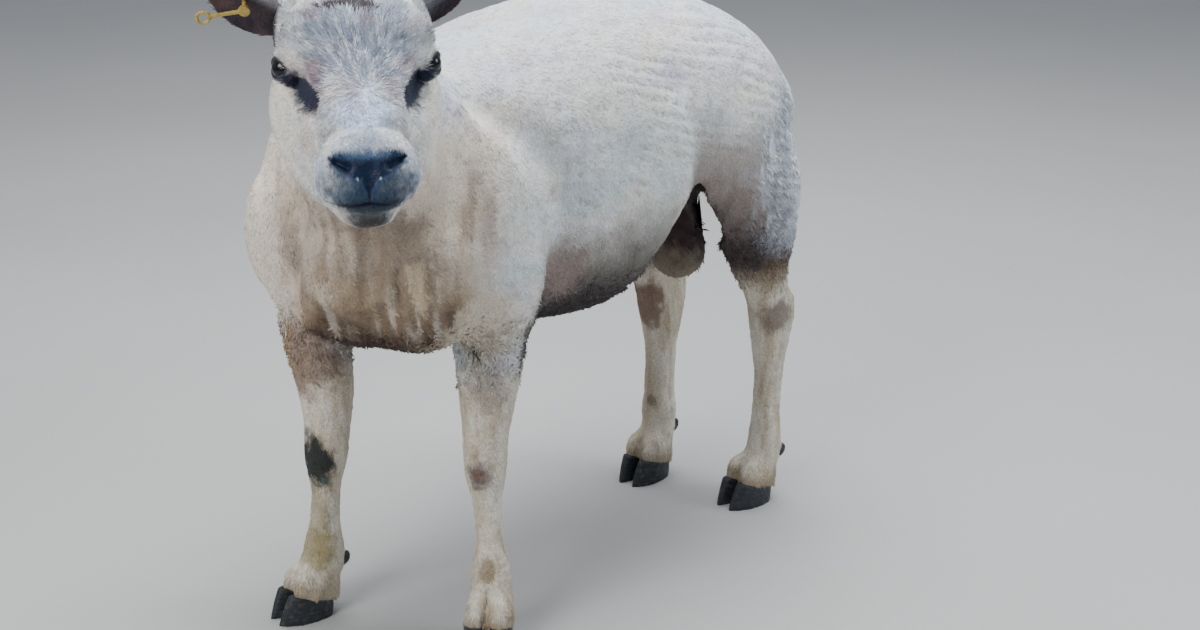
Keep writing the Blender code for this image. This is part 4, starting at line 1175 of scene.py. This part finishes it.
def grow(hide, material, density, name, slot, length, width, height, lift, stray, curl, seed, contrast):
    """Thin closed tufts lying along the hide, in pieces of less than 200,000 triangles."""
    roots, normals, flat, dice = scatter(hide, density, seed)
    count = len(roots)
    lie = lie_of(roots, normals)
    side = np.cross(normals, lie)
    turn = (dice.normal(0, stray, count) + 0.8 * stray * grain(roots, 0.012, seed + 50))[:, None]
    lie, side = lie * np.cos(turn) + side * np.sin(turn), side * np.cos(turn) - lie * np.sin(turn)

    def amount(size):
        size = size(roots, normals) if callable(size) else size
        return (size * MM * dice.uniform(0.7, 1.3, count))[:, None]

    length, width, height, lift = (amount(size) for size in (length, width, height, lift))
    bend = side * (dice.normal(0, 1, count)[:, None] * curl * length)
    points = np.stack(
        [
            roots - normals * height * 0.6,
            roots + lie * length * 0.38 + side * width + bend * 0.5,
            roots + lie * length * 0.38 - side * width + bend * 0.5,
            roots + lie * length * 0.42 + normals * (height + lift * 0.3) + bend * 0.5,
            roots + lie * length * 0.42 - normals * height * 0.5 + bend * 0.5,
            roots + lie * length + normals * lift + bend,
        ],
        1,
    )
    points[..., 2] = np.maximum(points[..., 2], TUFT_FLOOR)
    shine = unit(normals[:, None] + LEAF_SIDE * side[:, None] + LEAF_ALONG * lie[:, None])
    tint, wet = paint(roots, normals)
    tint = tint * np.exp(dice.normal(0, contrast, count))[:, None]
    tint = mix(tint, tint * np.array((0.93, 0.98, 1.05)), dice.random(count) * 0.5)
    # painted shade and highlight on each tuft
    tint = np.clip(tint[:, None, :] * LEAF_LIGHT_AND_SHADE[None, :, None], 0, 1)
    uv = flat[:, None, :] + PATCH[None]
    per_piece = PIECE_LIMIT // len(LEAF)
    for number, start in enumerate(range(0, count, per_piece)):
        part = slice(start, min(start + per_piece, count))
        size = part.stop - part.start
        faces = (np.arange(size)[:, None, None] * 6 + np.array(LEAF)[None]).reshape(-1, 3)
        mesh = mesh_of(name, points[part].reshape(-1, 3), faces)
        mesh.normals_split_custom_set_from_vertices(shine[part].reshape(-1, 3).astype(np.float32))
        colour_mesh(mesh, tint[part].reshape(-1, 3), np.repeat(wet[part], 6))
        layer = mesh.uv_layers.new(name="OFBake")
        layer.uv.foreach_set("vector", uv[part].reshape(-1, 2)[faces.ravel()].astype(np.float32).ravel())
        obj = add_object(f"{name}_{number + 1}", mesh)
        mesh.materials.append(material)
        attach(obj, "root")


def face_length(points, _):
    """Millimetres of hair on the face: short on the muzzle and long on the forehead."""
    _, forward, up = to_head(points).T
    forehead = ease(-0.13, -0.06, forward) * ease(-0.01, 0.03, up)
    return 4.0 + 4.6 * forehead + 1.2 * ease(-0.13, -0.08, forward)


def leg_length(points, normals):
    """Millimetres of hair on the legs: longer behind and round the fetlocks."""
    fetlock = fade(0.4, 1.0, np.abs(to_body(points)[:, 2] - 0.055) / 0.035)
    return 5.0 + 3.0 * ease(0.2, 0.8, normals[:, 1]) + 3.0 * fetlock


# name, slot, tufts to a square metre, length, width, height, lift in millimetres, stray, curl, seed, contrast
COATS = (
    ("coat_wool", "wool", 84000, 7.5, 1.3, 0.3, 0.3, 0.40, 0.12, 1, 0.060),
    ("coat_thigh", "wool", 60000, 15, 1.4, 0.9, 1.2, 0.16, 0.12, 2, 0.16),
    ("coat_belly", "wool", 70000, 8.5, 1.3, 1, 2.8, 1.2, 0.45, 3, 0.20),
    ("coat_face", "face_hair", 310000, face_length, 0.55, 0.3, 0.6, 0.16, 0.10, 4, 0.13),
    ("coat_muzzle", "face_hair", 560000, 3.4, 0.34, 0.2, 0.3, 0.20, 0.10, 5, 0.08),
    ("coat_legs", "wool", 170000, leg_length, 0.65, 0.3, 0.5, 0.18, 0.10, 6, 0.08),
    ("coat_ears", "face_hair", 20000, 6, 0.42, 0.3, 1, 0.25, 0.10, 7, 0.12),
    ("coat_poll", "face_hair", 90000, 10, 0.7, 0.5, 1.8, 0.5, 0.25, 8, 0.12),
    ("coat_locks", "wool", 90000, 15, 1, 0.8, 4, 0.45, 0.35, 9, 0.22),
)


def bare(points):
    """1 where there is no hair: nose, lips' edge and lids."""
    paired = to_face(points)
    cleft = np.minimum(beside(paired, PHILTRUM, FRONT_WAY), beside(paired, MOUTH, FRONT_WAY))
    out = np.maximum(fade(0.95, 1.25, nose_distance(paired)), fade(0.9, 1.3, cleft))
    for side in (1, -1):
        margin, distance = lid_margin(points, side)
        out = np.maximum(out, (margin > -0.0030) * (distance < EYE_REACH))
    return out * head_share(points)


def whisk(points):
    """Where longer locks were left: round the elbows and in front of the thighs."""
    paired = to_flank(points)
    elbow = fade(0.6, 1.2, within(paired, (105, -250, 372), (50, 45, 22)))
    thigh = fade(0.6, 1.2, beside(paired, [(104, 214, 392, 14), (94, 240, 360, 14)]))
    return np.maximum(elbow, thigh) * (1 - head_share(points))


def grow_coat(skin, material):
    hide = surface(skin.data)
    points = hide["points"]
    body, head = to_body(points), to_head(points)
    on_head, on_leg, open_skin = head_share(points), leg_share(points), 1 - bare(points)
    on_ear, reach, inner, edge = ear_fields(points, hide["normals"])
    scrotum = fade(0.9, 1.1, within(body, (4, 215, 370), (60, 48, 70)))
    wool = (1 - on_head) * (1 - on_leg) * (1 - on_ear) * (1 - 0.8 * scrotum)
    wool *= ease(1.3, 2.4, beside(body, [(*GROIN, 12)] + STRAND))
    low = fade(0.385, 0.425, body[:, 2]) * (1 - scrotum)
    rear = ease(0.19, 0.24, body[:, 1]) * fade(0.54, 0.60, body[:, 2] - 0.4 * (body[:, 1] - 0.25))
    muzzle = fade(-0.150, -0.110, head[:, 1])
    hair = on_head * (1 - on_ear) * open_skin
    hollow = 15 * ease(0.80, 0.95, edge) + 3 * fade(0.2, 0.6, reach)
    where = {
        "coat_wool": wool,
        "coat_thigh": wool * rear,
        "coat_belly": wool * low,
        "coat_face": hair * (1 - muzzle),
        "coat_muzzle": hair * muzzle,
        "coat_legs": on_leg * (1 - on_head),
        "coat_ears": on_ear * (13 * (1 - inner) + hollow * inner),
        "coat_poll": on_head * fade(0.7, 1.2, within(head, (0, 20, 62), (55, 40, 30))),
        "coat_locks": whisk(points) * open_skin,
    }
    share = 1.0
    for name, slot, number, *shape in COATS:
        grow(hide, material, where[name] * number * share, name, slot, *shape)


# ---------------------------------------------------------------- eyes, claws and tag
def make_eye(label, side, material):
    """A wet ball with a slight bulge of the cornea; its axis is the gaze."""
    form = bmesh.new()
    bmesh.ops.create_uvsphere(form, u_segments=64, v_segments=48, radius=1.0)
    local = np.array([vert.co for vert in form.verts])
    bulge = 1 + 0.055 * ease(0.80, 1.0, local[:, 2])
    placed = (local * bulge[:, None] * EYE_RADIUS) @ np.stack(eye_axes()) + EYE_PLACE
    for vert, place in zip(form.verts, from_head(placed * np.array((side, 1, 1)))):
        vert.co = place
    bmesh.ops.recalc_face_normals(form, faces=form.faces[:])
    mesh = bpy.data.meshes.new("eyeball_" + label)
    form.to_mesh(mesh)
    mesh.shade_smooth()
    layer = mesh.attributes.new("gaze", "FLOAT_VECTOR", "POINT")
    layer.data.foreach_set("vector", local.astype(np.float32).ravel())
    mesh.materials.append(material)
    obj = add_object("eyeball_" + label, mesh)
    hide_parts("eye_" + label)
    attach(obj, "root")


def make_claws(material):
    """The eight claws and eight dewclaws with softened edges and growth rings."""
    nodes = sorted(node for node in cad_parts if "claw_" in node)
    obj = cast("claws", nodes, CLAW_VOXEL)
    points = places(obj.data)
    sole = points[:, 2] < 0.0007

    def stand(points):
        points[:, 2] = np.where(sole, 0.0, np.maximum(points[:, 2], 0.0))
        put(obj, points)

    points = relax(points, links(obj.data), 5, np.where(sole, 0.0, 0.5))
    stand(points)
    normals = facings(obj.data)
    rings = np.sin((points[:, 2] + 0.002 * grain(points, 0.02, 61)) * 2 * math.pi / 0.0042)
    rings *= ease(0.004, 0.008, points[:, 2]) * (1 - np.abs(normals[:, 2]))
    stand(points + normals * (rings * 0.00022 - 0.0001)[:, None])
    obj.data.shade_smooth()
    obj.data.materials.append(material)
    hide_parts(*nodes)
    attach(obj, "root")


def make_tag(material):
    obj = cast("tag", ["ear_tag"], TAG_VOXEL)
    points = places(obj.data)
    put(obj, relax(points, links(obj.data), 6, np.full(len(points), 0.4)))
    obj.data.shade_smooth()
    obj.data.materials.append(material)
    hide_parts("ear_tag")
    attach(obj, "root")


def unwrap(obj):
    """An unwrap of the hide's own shape."""
    bpy.ops.object.select_all(action="DESELECT")
    obj.select_set(True)
    bpy.context.view_layer.objects.active = obj
    obj.data.uv_layers.new(name="OFBake")
    bpy.ops.object.mode_set(mode="EDIT")
    bpy.ops.mesh.select_all(action="SELECT")
    bpy.ops.uv.smart_project(angle_limit=math.radians(66), island_margin=0.004)
    bpy.ops.object.mode_set(mode="OBJECT")


def join(target, others):
    form = bmesh.new()
    for obj in (target, *others):
        form.from_mesh(obj.data)
    form.to_mesh(target.data)
    for obj in others:
        bpy.data.objects.remove(obj)
    target.data.shade_smooth()


# ---------------------------------------------------------------- stage
CENTRE = Vector(ORIGIN) + Vector((0, 0, 0.45))
# name, place from the centre, size, watts and colour
LIGHTS = (
    ("sky_box", (-0.1, 0.5, 2.4), 2.4, 120, (0.98, 0.99, 1.0)),
    ("left_box", (0.2, -2.9, 1.7), 1.6, 62, (1.0, 0.98, 0.95)),
    ("right_box", (2.6, 1.9, 1.2), 1.5, 34, (0.88, 0.94, 1.0)),
)
FLOOR_HALF = 9


def set_stage():
    scene = bpy.context.scene
    floor = bpy.data.meshes.new("floor")
    corners = [(x * FLOOR_HALF, y * FLOOR_HALF, 0) for x, y in ((-1, -1), (1, -1), (1, 1), (-1, 1))]
    floor.from_pydata(corners, [], [(0, 1, 2, 3)])
    obj = add_object("floor", floor)
    floor.materials.append(floor_material())
    scene.world = bpy.data.worlds.new("studio")
    scene.world.use_nodes = True
    background = scene.world.node_tree.nodes["Background"]
    background.inputs[0].default_value = (0.80, 0.87, 1.0, 1.0)
    background.inputs[1].default_value = 0.36
    for name, place, size, power, colour in LIGHTS:
        light = bpy.data.lights.new(name, "AREA")
        light.shape = "DISK"
        light.size = size
        light.energy = power
        light.color = colour
        lamp = add_object(name, light)
        lamp.location = CENTRE + Vector(place)
        lamp.rotation_euler = (-Vector(place)).to_track_quat("-Z", "Y").to_euler()
    lens = bpy.data.cameras.new("camera")
    lens.lens = 60.0
    lens.sensor_width = 36.0
    camera = add_object("camera", lens)
    camera.location = Vector(ORIGIN) + Vector((1.607, -1.671, 1.14))
    camera.rotation_euler = (math.radians(90 - 19.4), 0.0, math.radians(42.6))
    scene.camera = camera


def main():
    hide = hide_material()
    skin = make_skin()
    join(skin, [make_ear(label) for label in EARS])
    unwrap(skin)
    skin.data.materials.append(hide)
    colour_mesh(skin.data, *paint(places(skin.data), facings(skin.data)))
    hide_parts(*FLESH, "ear_left", "ear_right")
    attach(skin, "root")
    grow_coat(skin, hide)
    eye = eye_material()
    make_eye("left", 1, eye)
    make_eye("right", -1, eye)
    make_claws(horn_material())
    make_tag(tag_material())
    set_stage()


main()
